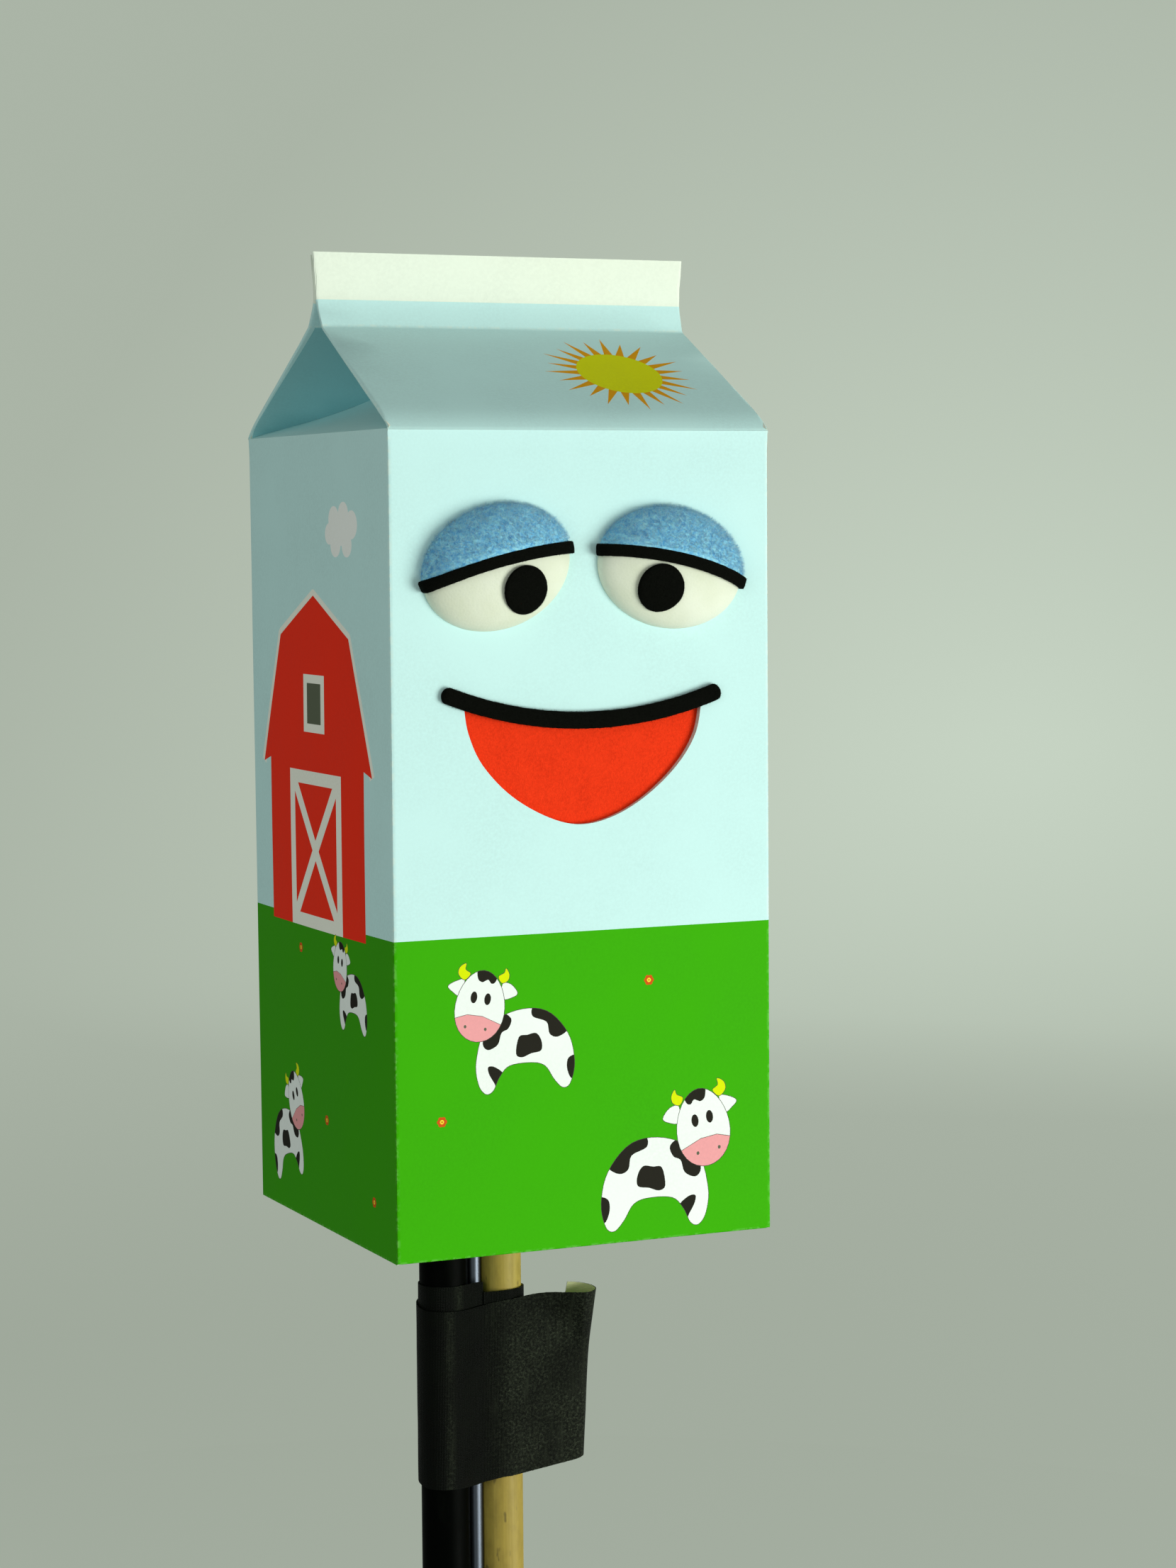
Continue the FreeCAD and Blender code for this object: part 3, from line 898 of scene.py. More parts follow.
MOUTH_WIDTH = 64.0
MOUTH_CORNER = 136.3    # height of the mouth's corners
MOUTH_FOOT = 105.9      # and of its lowest point
MOUTH_DIP = 4.4         # how far its upper edge sags between the corners
LIP_WIDTH = 4.2
LIP_SPAN = 71.0
LIP_DIP = 6.3
LIP_ENDS = 138.0        # height of the lip's ends
LIP_TILT = math.radians(-0.7)
LIP_SHIFT = -0.6        # its middle, from the carton's


def mouth_outline(inset=0.0):
    """The mouth cut-out: a sagging upper edge over a rounded shield."""
    half = MOUTH_WIDTH / 2 - inset
    depth = MOUTH_CORNER - MOUTH_FOOT - inset
    shield = [(-1, 0), (-0.965, 0.23), (-0.85, 0.49), (-0.61, 0.75), (-0.3, 0.935), (-0.03, 1), (0.25, 0.94),
              (0.53, 0.78), (0.79, 0.54), (0.95, 0.28), (1, 0)]
    last = len(shield) - 1
    below = []
    for i in range(last):
        corners = [Vector(shield[min(max(i + k, 0), last)]) for k in (-1, 0, 1, 2)]
        for k in range(6):
            p = curve(*corners, k / 6)
            below.append((half * p.x, MOUTH_CORNER - inset - depth * p.y))
    shares = [1 - k / 12 for k in range(24)]
    return below + [(half * s, MOUTH_CORNER - inset - MOUTH_DIP * (1 - s ** 2)) for s in shares]


def draw_roof(art, home):
    """The bottom flap, the roof slope with its two folded-under wings, and the fin over a wide panel."""
    near_end, far_end = home - SIDE, home + SIDE
    art.add("grass", rectangle(home - HALF + 1, -FLAP - HALF, home + HALF - 1, 0))
    art.add("sky", [(near_end, BAND_AT), (near_end, SHOULDER + CREASE), (home - HALF, SHOULDER),
                    (home + HALF, SHOULDER), (far_end, SHOULDER + CREASE), (far_end, BAND_AT)])
    # The folded-under wings are printed in a deeper blue: painted shade for the pocket under the roof slope.
    for side in (-1, 1):
        inner, outer = home + side * (HALF + 1), home + side * SIDE
        art.add("pocket_sky_painted_shade", [(inner, SHOULDER + CREASE / HALF + 0.1), (outer, SHOULDER + CREASE),
                               (outer, BAND_AT), (inner, BAND_AT)])
    art.add("sky", rectangle(near_end, RIDGE_AT, far_end, BAND_AT))
    art.add("band_white", rectangle(near_end, BAND_AT, far_end, TOP))


def draw_front(art, home):
    """The sun on the roof slope, and two cows on the meadow."""
    sun(art, home + 20.9, SHOULDER + 28.8)
    cow(art, home - 28.5, 62.3, 1.0, -1)
    cow(art, home + 31.8, 27.6, 1.13, 1)
    for across, up in ((17.0, 66.0), (-38.8, 34.4)):
        flower(art, home + across, up)


def draw_side(art, home):
    """The barn under a cloud, and two smaller cows."""
    # The side panels' meadow is printed a darker green than the front's: painted shade for the shaded sides.
    art.add("side_grass_painted_shade", rectangle(max(LEFT_END, home - HALF), 0, home + HALF, HORIZON))
    barn(art, home - 1.6)
    cloud(art, home + 18.9, 178.6)
    cow(art, home + 14.7, 69.3, 0.72, -1)
    cow(art, home - 20.8, 30.1, 0.88, 1, 14)
    for across, up in ((-14.3, 71.1), (2.7, 28.4), (35.4, 12.9)):
        flower(art, home + across, up)


def blank_artwork():
    """The whole blank: sky over a meadow, with the roof, fin, flaps and everything printed."""
    art = Artwork()
    art.add("sky", rectangle(LEFT_END, HORIZON, BACK_END, SHOULDER))
    art.add("grass", rectangle(LEFT_END, 0, BACK_END, HORIZON))
    art.add("bare_card", rectangle(LEFT_END - LAP, 3, LEFT_END, SHOULDER - 3))
    for home in (0, 2 * SIDE):
        draw_roof(art, home)
        draw_front(art, home)
    for home in (-SIDE, SIDE):
        draw_side(art, home)
    art.add("hole", mouth_outline())
    slot = rods_hole()
    art.add("hole", [(x, -HALF - y) for x, y in slot])
    art.add("hole", [(2 * SIDE - x, y - HALF + CARD) for x, y in slot])
    return art


def fold_lines():
    """The grid that the blank is cut along: close by each fold, and wide between them."""
    near_fold = [0.5 * k for k in range(-3, 4)]
    lines_u = [home + d for home in (-HALF, HALF, 3 * HALF, 5 * HALF, LEFT_END) for d in near_fold]
    lines_u += [LEFT_END + 6 - LAP]
    lines_u += [panel * SIDE + HALF * k / 4 for panel in range(-1, 4) for k in range(-3, 4)]
    lines_v = [-HALF, -0.8, -0.4, 0.0, 0.4, 0.8]
    up_slope = (-5, -1, -0.3, 0, 0.3, 1, 2, 3, 4, 5, 6, 7, 8, 10, 14, 20, 26, 32, 38, 44)
    lines_v += [SHOULDER + d for d in up_slope]
    lines_v += [SHOULDER * k / 12 for k in range(1, 12)]
    lines_v += [RIDGE_AT + d for d in (-0.8, -0.4, 0, 0.4, 0.8)]
    lines_v += [PROFILES[0].marks[5] + d for d in (-3, -1.5, -0.4, 0.6, 2)] + [TOP - 4]
    return lines_u, lines_v


def gable_artwork():
    art = Artwork()
    art.add("sky", [(-HALF, SHOULDER), (HALF, SHOULDER), (0, SHOULDER + CREASE)])
    return art


def build_carton(looks):
    """The folded blank and its two pushed-in gable triangles, as one piece."""
    names = list(looks)
    parts = [shell(blank_artwork(), *fold_lines(), fold, blank_wear_and_highlight, names)]
    columns = [HALF * k / 4 for k in range(-3, 4)]
    rows = [SHOULDER + CREASE * k / 12 for k in range(1, 12)]
    parts += [shell(gable_artwork(), columns, rows, fold_gable(sign), unworn, names) for sign in (-1, 1)]
    skin, faces, slots, lightening = [], [], [], []
    for part_skin, part_faces, part_slots, part_lightening in parts:
        faces += [tuple(i + len(skin) for i in face) for face in part_faces]
        skin += part_skin
        slots += part_slots
        lightening += part_lightening
    piece = new_object("carton", skin, faces, list(looks.values()), slots)
    attribute = piece.data.attributes.new("lightening", "FLOAT", "POINT")
    attribute.data.foreach_set("value", lightening)
    on_head("printed_card", piece)
    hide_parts("carton_front", "carton_back", "carton_left", "carton_right", "carton_floor",
                "roof_front", "roof_back", "gable_left", "gable_right", "fin_front", "fin_back")


# ---------------------------------------------------------------- mouth
def build_stiffener(look):
    """The board glued behind the face, cut out round the mouth a little wider than the card."""
    low, high = head_box("face_stiffener")
    glue = 0.04
    art = Artwork()
    art.add("board", rectangle(low.x, low.z, high.x, high.z))
    art.add("hole", mouth_outline(-0.1))

    def place(u, v, depth):
        return Vector((u, high.y - glue if depth else low.y + glue, v))

    skin, faces, _, _ = shell(art, [], [], place, unworn, ["board", "bare_card", "cut_edge"])
    piece = new_object("face_stiffener_board", skin, faces, [look])
    on_head("grey_board", piece)
    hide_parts("face_stiffener")


def build_mouth_felt(look):
    """Red felt behind the mouth, which pillows a little into the cut-out."""
    low, high = head_box("mouth_backing")
    columns, rows = 60, 36
    glue = 0.05
    swell_x, swell_z = 34, 19           # half the width and height of the part that pillows
    middle_z = 121
    points = []
    for back in (0, 1):
        for j in range(rows + 1):
            for i in range(columns + 1):
                x = low.x + (high.x - low.x) * i / columns
                z = low.z + (high.z - low.z) * j / rows
                from_middle = max(abs(x) / swell_x, abs(z - middle_z) / swell_z)
                swell = 0.45 * max(0.0, 1 - from_middle ** 2)
                fuzz = 0.08 * noise.noise(Vector((x, z, 0)) * 1.3) if from_middle < 1 else 0.0
                points.append((x, high.y - glue if back else low.y + glue - swell + fuzz, z))
    piece = new_object("mouth_felt", points, slab_faces(columns + 1, rows + 1), [look])
    on_head("red_felt", piece)
    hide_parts("mouth_backing")


def cut_felt(name, rings, look, loose, hairs, crisp=38, facing=0.6):
    """A black felt piece with a loosened skin, and fuzz all over it except at its back; returns both.

    loose is how far the skin moves and over what size, and hairs the fuzz's count, length and width."""
    piece = new_object(name, *loft(rings), [look], crisp=crisp)
    ruffle(piece, *loose)
    fuzz = nap(piece, name.replace("felt", "fuzz"), look, *hairs, lambda centre, normal: normal.y < facing)
    on_head("black_felt", piece, fuzz)
    return piece, fuzz


def build_lip(look):
    """A felt strip along a sagging arc, with round ends and softened edges."""
    low, high = head_box("upper_lip")
    arc = (LIP_SPAN ** 2 / 4 + LIP_DIP ** 2) / (2 * LIP_DIP)
    centre = Vector((LIP_SHIFT, LIP_ENDS - LIP_DIP + arc))
    end = LIP_WIDTH / 2 / arc
    reach = math.asin(LIP_SPAN / 2 / arc) + end
    steps = 150
    section = rounded_section()
    rings = []
    for k in range(steps + 1):
        angle = reach * math.sin(math.pi * (k / steps - 0.5))
        past = max(0.0, (abs(angle) - (reach - end)) / end)
        half = max(0.04, LIP_WIDTH / 2 * math.sqrt(max(0.0, 1 - past ** 2.6)))
        thick = (high.y - low.y) * (1 - 0.35 * past ** 4)
        ring = []
        for across, up in section:
            radius = arc - across * half
            x = centre.x + radius * math.sin(angle)
            z = centre.y - radius * math.cos(angle) + x * LIP_TILT
            ring.append((x, high.y - 0.02 - thick * (0.5 + 0.5 * up), z))
        rings.append(ring)
    piece, _ = cut_felt("upper_lip_felt", rings, look, (0.09, 0.9), (2600, 0.45, 0.05))
    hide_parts("upper_lip")


# ---------------------------------------------------------------- eyes
EYE_LENGTH = 39.4
EYE_HEIGHT = 29.8
EYE_BULGE = 7.0         # how far the dome stands off the card
EYE_TILT = {"left": 17.2, "right": -9.1}        # degrees
FOAM_SKIN = 0.1         # glue between the foam and what lies on it
PUPIL_RADIUS = 6.0
PUPIL_FELT = 1.2
EYE_DROP = 0.8          # the glued foam sits this much below its marks
FLEECE = 2.0            # how far the fleece stands off the dome's middle
FLEECE_RIM = 0.4        # and off its rim
LASH_WIDTH = 3.0
LASH_FELT = 2.2
LASH_ARC = ((-20.6, 1.6), (-1.5, 2.4), (20.0, -1.0))     # its ends and middle, from the eye's centre


def dome_height(u, v, grow, spread=None):
    """Height of an eye's dome above the carton, for a skin grown by this much (and spread sideways)."""
    wider = grow if spread is None else spread
    a, b, c = EYE_LENGTH / 2 + wider, EYE_HEIGHT / 2 + wider, EYE_BULGE + grow
    return c * math.sqrt(max(0.0, 1 - (u / a) ** 2 - (v / b) ** 2))


def rim_v(u, grow):
    """Where the dome's outline, grown by this much, lies over u."""
    return (EYE_HEIGHT / 2 + grow) * math.sqrt(max(0.0, 1 - (u / (EYE_LENGTH / 2 + grow)) ** 2))


def felt_height(u, v, thick, least, share):
    """Height in a felt that lies on the dome, from its glued side at 0 to its face at 1."""
    bottom = max(0.03, dome_height(u, v, FOAM_SKIN))
    top = max(bottom + least, dome_height(u, v, thick))
    return bottom + (top - bottom) * share


def lash_v(u):
    """The lash line's arc, as a parabola through its ends and middle."""
    total = 0.0
    for i, (x, y) in enumerate(LASH_ARC):
        first, second = (p[0] for k, p in enumerate(LASH_ARC) if k != i)
        total += y * (u - first) * (u - second) / ((x - first) * (x - second))
    return total


def eye_frame(side):
    """Turns (u, v, height) on an eye's own axes into the head's millimetres, and back."""
    low, high = head_box("eye_dome_" + side)
    centre = (low + high) / 2
    centre.z -= EYE_DROP
    tilt = math.radians(EYE_TILT[side])
    c, s = math.cos(tilt), math.sin(tilt)

    def out(u, v, height):
        return Vector((centre.x + u * c - v * s, high.y - height, centre.z + u * s + v * c))

    def back(x, z):
        p, q = x - centre.x, z - centre.z
        return p * c + q * s, q * c - p * s
    return out, back


def build_dome(side, look):
    """A foam dome with its edge rolled under where it meets the card."""
    out, _ = eye_frame(side)
    count = 96
    rings = []
    for degrees in [0.0, 1.5, 3, 5] + [5 + 84.6 * k / 22 for k in range(1, 23)]:
        angle = math.radians(degrees)
        ring = []
        for i in range(count):
            turn = math.tau * i / count
            u = EYE_LENGTH / 2 * math.cos(angle) * math.cos(turn)
            v = EYE_HEIGHT / 2 * math.cos(angle) * math.sin(turn)
            dent = 0.05 * noise.noise(Vector((u, v, 2)) * 0.16)
            height = 0.02 + (EYE_BULGE - 0.05) * math.sin(angle) ** 0.92 + dent * math.sin(angle)
            ring.append(out(u, v, height))
        rings.append(ring)
    piece = new_object("eye_foam_" + side, *loft(rings), [look])
    on_head("eye_foam", piece)
    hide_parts("eye_dome_" + side)


def build_lid(side, look, nap_look):
    """Fleece drawn over the upper part of the dome, its lower edge tucked behind the lash line."""
    out, back = eye_frame(side)
    columns, rows = 64, 22
    widest = EYE_LENGTH / 2 + FLEECE_RIM - 0.1
    up = [math.sin(math.pi / 2 * j / rows) for j in range(rows + 1)]
    rings = []
    for k in range(columns + 1):
        u = widest * math.sin(math.pi * (k / columns - 0.5))
        low = lash_v(u) + 0.3
        rim = max(rim_v(u, FLEECE_RIM), low + 0.3)
        inner_rim = max(rim_v(u, FOAM_SKIN), low + 0.15)
        ring = []
        for share in up:
            v = low + (rim - low) * share
            swell = 0.12 * noise.noise(Vector((u, v, 5)) * 0.5)
            ring.append(out(u, v, max(0.05, dome_height(u, v, FLEECE, FLEECE_RIM) - 0.05 + swell)))
        for share in reversed(up):
            v = low + (inner_rim - low) * share
            ring.append(out(u, v, max(0.02, dome_height(u, v, FOAM_SKIN))))
        rings.append(ring)
    piece = new_object("eyelid_fleece_" + side, *loft(rings), [look], crisp=60)
    skin = metres(out(0, 0, 0)).y

    def outside(centre, normal):
        """Not on the back, not under the card's face, and above the lash line."""
        u, v = back(centre.x / MM - HEAD.x, centre.z / MM - HEAD.z)
        return normal.y < 0.35 and skin - centre.y > -0.2 * MM and v > lash_v(u) + LASH_WIDTH / 2 + 0.5

    fuzz = nap(piece, "eyelid_nap_" + side, nap_look, 8000, 1.3, 0.065, outside, lean=(0, 0, 0.1))
    on_head("blue_fleece", piece, fuzz)
    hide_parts("eyelid_" + side)


def build_lash(side, look):
    """A felt strip over the dome, cut square at both ends."""
    out, _ = eye_frame(side)
    section = rounded_section(20, 0.35)
    steps = 90
    rings = []
    start, stop = LASH_ARC[0][0], LASH_ARC[2][0]
    for k in range(steps + 1):
        t = math.sin(math.pi / 2 * (2 * k / steps - 1)) * 0.5 + 0.5
        u = start + (stop - start) * t
        slope = (lash_v(u + 0.1) - lash_v(u - 0.1)) / 0.2
        normal = Vector((-slope, 1)).normalized()
        end = 1 - 0.25 * max(0.0, 1 - min(t, 1 - t) / 0.006)
        ring = []
        for across, up in section:
            aside = across * LASH_WIDTH / 2 * end
            p, q = u + normal.x * aside, lash_v(u) + normal.y * aside
            ring.append(out(p, q, felt_height(p, q, LASH_FELT, 1.2, 0.5 + 0.5 * up * end)))
        rings.append(ring)
    piece, _ = cut_felt("lash_felt_" + side, rings, look, (0.07, 0.8), (1300, 0.4, 0.045), crisp=50)
    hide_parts("lash_line_" + side)


def build_pupil(side, look):
    """A round felt disc over the dome, with softened rim."""
    out, back = eye_frame(side)
    low, high = head_box("pupil_" + side)
    middle = (low + high) / 2
    count = 48
    section = [(0.15, 0.0), (0.5, 0.0), (0.9, 0.0), (0.975, 0.12), (1.0, 0.5), (0.975, 0.85), (0.92, 1.0),
               (0.75, 1.0), (0.5, 1.0), (0.25, 1.0), (0.08, 1.0)]
    rings = []
    for share, up in section:
        ring = []
        for i in range(count):
            turn = math.tau * i / count
            seed = 4.2 + (side == "left")
            wobble = 1 + 0.018 * noise.noise(Vector((math.cos(turn), math.sin(turn), seed)))
            radius = PUPIL_RADIUS * share * wobble
            p, q = back(middle.x + radius * math.cos(turn), middle.z + radius * math.sin(turn))
            ring.append(out(p, q, felt_height(p, q, PUPIL_FELT, 0.6, up)))
        rings.append(ring)
    piece, fuzz = cut_felt("pupil_felt_" + side, rings, look, (0.06, 0.8), (1500, 0.35, 0.045), 60, 0.5)
    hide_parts("pupil_" + side)


# ---------------------------------------------------------------- gaffer tape
TAPE_WIDTH = 47.0
TAPE = 0.26
ROD_STEPS = 22          # steps of the tape's path round each rod
GAP_STEPS = 13          # and across each gap between the rods
GAP_DIPS = (0.6, 1.9)   # how far the tape sinks into the gap behind the rods, and in front
STRIP_OFFSET = 0.1      # between the first turn and the rods
STRIP_LIFT = 0.7        # how much higher the first turn stands than in the CAD
WRAP_OFFSET = 0.4       # between the start of the second turn and the rods
WRAP_GROWS = 0.3        # how much further off it is when it has come round
FLAG_OFFSET = 0.72      # between the rods and where the free end starts
# The second turn's upper edge: (share of the turn, height against the first turn's edge).
WRAP_LEVELS = ((0.0, -2.0), (0.12, -1.6), (0.55, -3.8), (0.72, -5.7), (0.86, -5.8), (1.0, -4.2))
FLAG_LEAVES = 4.4       # x where the free end leaves the dowel
CURL_X = 17.5           # x where it starts to curl back
CURL_RADIUS = 4.2
CURL_TURN = math.radians(190)
CURL_TAPE = math.radians(207)       # the turn that all the tape in the curl would reach
FLAG_SLANT = 2.6        # how much further the free end reaches at its top than at its foot
FLAG_CLIMB = 0.125      # how steeply it climbs up to the curl
CURL_CLIMB = 0.035      # and in it
CORNER_WAY = (0.773, 0.635)         # the direction, as (x, z), in which its top corner leans forwards
CORNER_RADIUS = 10.0
CORNER_TURN = math.radians(38)


def bundle_loop(offset, grow=0.0):
    """Once round the row of rods from the dowel's front, as (x, y, outward x, outward y).

    The path keeps this offset from the rods, which rises by grow over the turn."""
    rods = []
    for node in ("pole_tube", "wooden_dowel"):
        low, high = head_box(node)
        rods.append(((low.x + high.x) / 2, (high.x - low.x) / 2))
    (tube_x, tube_r), (dowel_x, dowel_r) = rods
    lean = math.asin((tube_r - dowel_r) / (dowel_x - tube_x))
    turns = ((dowel_x, dowel_r, -math.pi / 2 + lean, math.pi / 2 - lean),
             (tube_x, tube_r, math.pi / 2 - lean, 3 * math.pi / 2 + lean))
    total = 2 * (ROD_STEPS + 1 + GAP_STEPS)
    stations = []

    def on_rod(middle, radius, angle):
        r = radius + offset + grow * len(stations) / total
        return middle + r * math.cos(angle), r * math.sin(angle), math.cos(angle), math.sin(angle)

    for (middle, radius, start, stop), following, deep in zip(turns, turns[::-1], GAP_DIPS):
        for i in range(ROD_STEPS + 1):
            stations.append(on_rod(middle, radius, start + (stop - start) * i / ROD_STEPS))
        x, y, out_x, out_y = stations[-1]
        goal_x, goal_y, _, _ = on_rod(*following[:3])
        for i in range(1, GAP_STEPS + 1):
            t = i / (GAP_STEPS + 1)
            dip = deep * math.sin(math.pi * t) ** 2
            stations.append((x + (goal_x - x) * t - out_x * dip,
                             y + (goal_y - y) * t - out_y * dip, out_x, out_y))
    return stations


def run_marks(stations):
    """The length of tape that has gone by at each station."""
    runs = [0.0]
    for a, b in zip(stations, stations[1:]):
        runs.append(runs[-1] + math.hypot(b[0] - a[0], b[1] - a[1]))
    return runs


def tape_strip(name, runs, place, zero, looks):
    """A strip of tape; place(i, share) is its point at the run i, this share of its width down.

    The point is (x, y, outward x, outward y, z).  The UV map is in millimetres, along from zero."""
    rows = 16
    columns = len(runs)
    points = []
    for layer in (0.0, TAPE):
        for j in range(rows + 1):
            share = j / rows
            for i, run in enumerate(runs):
                x, y, out_x, out_y, z = place(i, share)
                off = layer + 0.05 * noise.noise(Vector((run * 0.25, share * 6, 8.1)))
                ragged = 0.12 * noise.noise(Vector((run * 1.7, share * 3, 1))) if j in (0, rows) else 0.0
                points.append((x + out_x * off, y + out_y * off, z + ragged))
    faces = slab_faces(columns, rows + 1)
    quads = (columns - 1) * rows
    slots = [1, 0] * quads + [0] * (len(faces) - 2 * quads)
    piece = new_object(name, points, faces, looks, slots, crisp=50)
    flat = piece.data.uv_layers.new(name="tape")
    for loop in piece.data.loops:
        row, column = divmod(loop.vertex_index % (columns * (rows + 1)), columns)
        flat.data[loop.index].uv = (runs[column] - zero, TAPE_WIDTH * row / rows)
    return piece


def build_first_strip(looks):
    """The first turn of tape, cut off where the steel rod meets the dowel."""
    edge = head_box("gaffer_first_strip")[1].z + STRIP_LIFT
    seam = head_box("wooden_dowel")[0].x
    stations = bundle_loop(STRIP_OFFSET)[ROD_STEPS // 2:]
    while stations[-1][0] > seam:
        stations.pop()
    runs = run_marks(stations)

    def place(i, share):
        return *stations[i], edge - TAPE_WIDTH * share

    piece = tape_strip("gaffer_strip", runs, place, runs[-1] + 10, looks)
    on_head("gaffer_cloth", piece)
    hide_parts("gaffer_first_strip")


def bend(point, origin, across, radius, turn):
    """Roll a sheet that lies in a y = constant plane round an axis, backwards if the radius is positive.

    The axis passes the origin; across is the unit direction over it, as (x, z).
    Returns the moved point and the way its skin faces, both as (x, y, z)."""
    x, y, z = point
    past = (x - origin[0]) * across[0] + (z - origin[1]) * across[1]
    if past <= 0:
        return Vector(point), Vector((0, -1, 0))
    angle = min(turn, past / abs(radius))
    tail = past - angle * abs(radius)
    forward = abs(radius) * math.sin(angle) + tail * math.cos(angle) - past
    back = math.copysign(abs(radius) * (1 - math.cos(angle)) + tail * math.sin(angle), radius)
    moved = Vector((x + across[0] * forward, y + back, z + across[1] * forward))
    lean = math.copysign(math.sin(angle), radius)
    return moved, Vector((across[0] * lean, -math.cos(angle), across[1] * lean))


def wrap_level(share):
    """The second turn's upper edge against the first's: high on the dowel, low across the tube."""
    for (a, low), (b, high) in zip(WRAP_LEVELS, WRAP_LEVELS[1:]):
        if share <= b:
            t = (share - a) / (b - a)
            return low + (high - low) * t * t * (3 - 2 * t)


def build_wrap_and_flag(looks):
    """One more turn, slipping down behind the tube, and the free end that curls back on itself."""
    seam = head_box("wooden_dowel")[0].x
    strap_top = head_box("gaffer_first_strip")[1].z
    start_x, start_y = bundle_loop(FLAG_OFFSET)[0][:2]
    reach = CURL_X - start_x
    total = reach + CURL_RADIUS * CURL_TAPE
    steps = 72
    turn = [station for station in bundle_loop(WRAP_OFFSET)[-GAP_STEPS:] if station[0] > seam - 1.6]
    turn += bundle_loop(WRAP_OFFSET, WRAP_GROWS)
    stations = turn + [(start_x + total * i / steps, start_y, 0.0, -1.0) for i in range(steps + 1)]
    runs = run_marks(stations)
    leaves = runs[len(turn)]
    flag_top = strap_top + WRAP_LEVELS[-1][1]
    corner_at = (start_x + 4.0, flag_top + 0.5)
    slant = math.atan(FLAG_SLANT / TAPE_WIDTH)
    over = (math.cos(slant), -math.sin(slant))

    def top(run):
        """The strip's upper edge, which climbs into the free end."""
        out = run - leaves
        if out <= 0:
            return strap_top + wrap_level(run / leaves)
        return flag_top + FLAG_CLIMB * min(out, reach) + CURL_CLIMB * max(0.0, out - reach)

    def place(i, share):
        edge = top(runs[i]) - TAPE_WIDTH * share
        if i < len(turn):
            return *stations[i], edge
        flat = Vector((start_x + runs[i] - leaves, start_y, edge))
        kept = Vector((min(flat.x, CURL_X), flat.y, flat.z))
        leaned, facing = bend(kept, corner_at, CORNER_WAY, -CORNER_RADIUS, CORNER_TURN)
        rolled, turned = bend(flat, (CURL_X, strap_top - 5), over, CURL_RADIUS, CURL_TURN)
        point = rolled + leaned - kept
        if turned.y > -1:
            facing = turned
        return point.x, point.y, facing.x, facing.y, point.z

    piece = tape_strip("gaffer_wrap_and_flag", runs, place, leaves, looks)
    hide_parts("gaffer_wrap", "gaffer_flag")
    crease = metres((FLAG_LEAVES, start_y, strap_top))
    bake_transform(piece)


# ---------------------------------------------------------------- CAD pieces that keep their shape
def dress(node, look):
    """A new look for a CAD node."""
    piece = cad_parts[node]
    for place in piece.material_slots:
        place.material = look
    piece.data.shade_smooth()


# ---------------------------------------------------------------- stage, light and camera
def build_stage():
    """A pale floor that sweeps up into a wall all round, and glows: brighter in a painted pool of light to
    the back right, darker in painted shade on the floor behind the head.
    """
    look = Look("backdrop", 0.9, 0.0)
    place = look.place()

    def distance(*point):
        return look.node("VectorMath", {0: place, 1: point}, operation="DISTANCE").outputs["Value"]

    # Painted light on the glowing backdrop: a brighter pool to the back right, and painted shade on the
    # floor behind the head.
    painted_light_pool = look.between(distance(1.27, 1.8, 0.2), 0.05, 0.95, 1, 0)
    painted_shade_patch = look.between(distance(0.0, 0.7, 0.0), 0.0, 1.2, 0.75, 0)
    wall = look.mix(painted_shade_patch, look.mix(painted_light_pool, srgb(170, 180, 166), srgb(197, 210, 194)), srgb(154, 163, 150))
    look.set(Base_Color=srgb(20, 20, 20), Emission_Color=wall, Emission_Strength=1.0)
    radius, sweep, height = 2.6, 0.9, 4.0
    section = [(0.5, 0.0), (1.0, 0.0), (radius - sweep, 0.0)]
    for k in range(1, 15):
        angle = math.pi / 2 * k / 14
        section.append((radius - sweep + sweep * math.sin(angle), sweep - sweep * math.cos(angle)))
    section.append((radius, height))
    count = 96
    points = []
    for r, z in section:
        for i in range(count):
            turn = math.tau * i / count
            points.append((r * math.cos(turn), r * math.sin(turn), z - MM))
    mesh = bpy.data.meshes.new("backdrop")
    mesh.from_pydata(points, [], [tuple(range(count))] + ring_faces(len(section), count))
    mesh.materials.append(look.material)
    mesh.shade_smooth()
    backdrop = link("backdrop", mesh)
    backdrop.visible_shadow = False
    backdrop.visible_diffuse = False
    backdrop.visible_glossy = False


def area_light(name, direction, distance, size, watts, colour):
    """A soft lamp that looks at the head's middle from this direction."""
    lamp = bpy.data.lights.new(name, "AREA")
    lamp.shape = "DISK"
    lamp.size = size
    lamp.energy = watts
    lamp.color = colour
    towards = Vector(direction).normalized()
    holder = link(name, lamp)
    holder.location = metres((0, 0, SHOULDER / 2)) + towards * distance
    holder.rotation_euler = towards.to_track_quat("Z", "Y").to_euler()


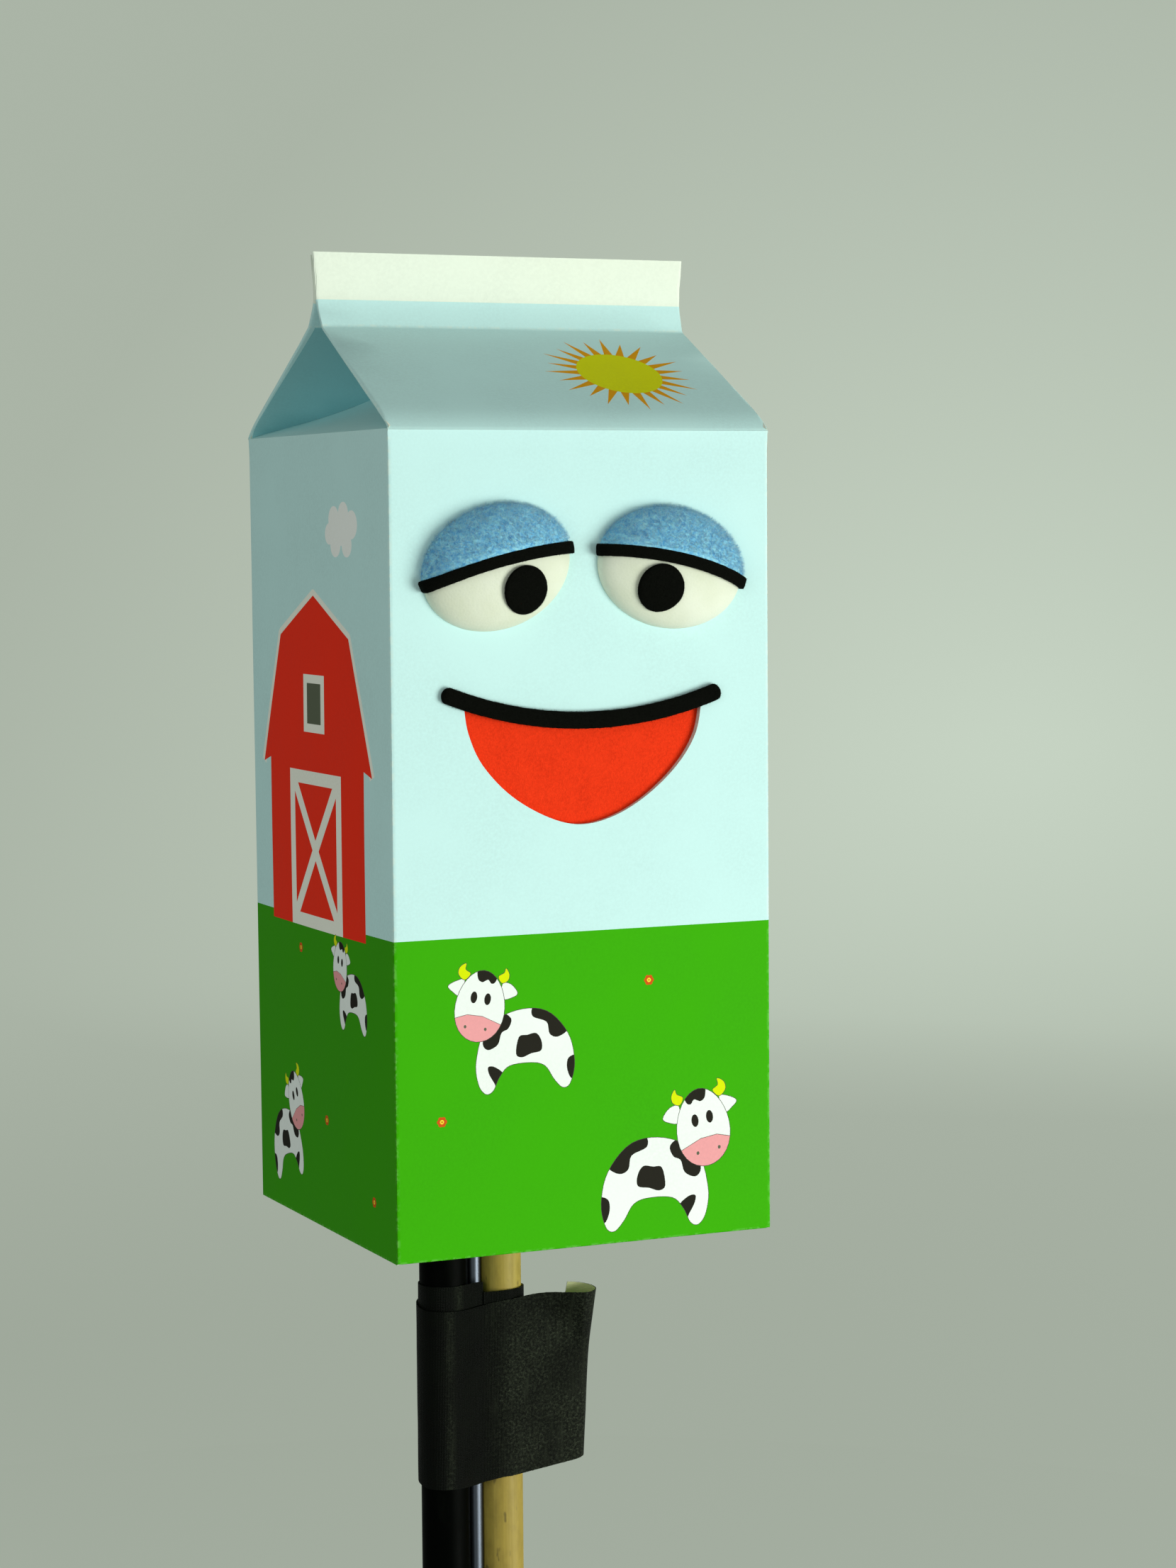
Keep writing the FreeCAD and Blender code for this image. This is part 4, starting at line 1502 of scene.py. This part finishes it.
def build_lights():
    area_light("window", (0.62, -0.80, -0.18), 1.5, 0.9, 20.5, (0.95, 1.0, 0.91))
    area_light("room", (-0.72, -0.66, 0.12), 2.2, 1.6, 8.2, (0.93, 1.0, 0.97))
    area_light("wall_glow", (0.9, 0.9, 0.4), 1.6, 1.2, 3, (0.95, 1.0, 0.95))
    world = bpy.data.worlds.new("studio")
    world.use_nodes = True
    background = world.node_tree.nodes["Background"]
    background.inputs["Color"].default_value = srgb(226, 236, 226)
    background.inputs["Strength"].default_value = 0.34
    bpy.context.scene.world = world
    bpy.context.scene.view_settings.view_transform = "Standard"


def build_camera():
    """The photograph's view, worked out from the carton's edges."""
    data = bpy.data.cameras.new("camera")
    data.lens = 79.63
    data.sensor_width = 36
    place = Matrix.Translation(metres((-350.8, -831.0, 179.7)))
    for degrees, axis in ((-24.26, "Z"), (90 - 4.27, "X"), (-0.45, "Z")):
        place = place @ Matrix.Rotation(math.radians(degrees), 4, axis)
    camera = link("camera", data)
    camera.matrix_world = place
    bpy.context.scene.camera = camera


# ---------------------------------------------------------------- everything together
card_looks = {ink: printed_card("ink_" + ink, srgb(*steps)) for ink, steps in INKS.items()}
card_looks["bare_card"] = bare_card()
card_looks["cut_edge"] = cut_edge()
black_felt = felt("black_felt", srgb(11, 12, 9))
tape_looks = [gaffer_cloth(), gaffer_glue()]
lid_look = fleece("blue_fleece", 0.0)
nap_look = fleece("blue_fleece_nap", 0.95)
foam_look = eye_foam()

build_carton(card_looks)
build_stiffener(grey_board())
build_mouth_felt(felt("red_felt", srgb(250, 56, 24)))
build_lip(black_felt)
for side in EYE_TILT:
    build_dome(side, foam_look)
    build_lid(side, lid_look, nap_look)
    build_lash(side, black_felt)
    build_pupil(side, black_felt)
build_first_strip(tape_looks)
build_wrap_and_flag(tape_looks)
dress("wooden_dowel", wood("dowel_wood", srgb(190, 166, 72), srgb(158, 134, 50), 60))
dress("steel_rod", bright_steel())
dress("pole_tube", black_plastic())
dress("rod_block", wood("softwood", srgb(216, 178, 118), srgb(176, 128, 74), 90))
dress("base_board", plywood())

build_stage()
build_lights()
build_camera()
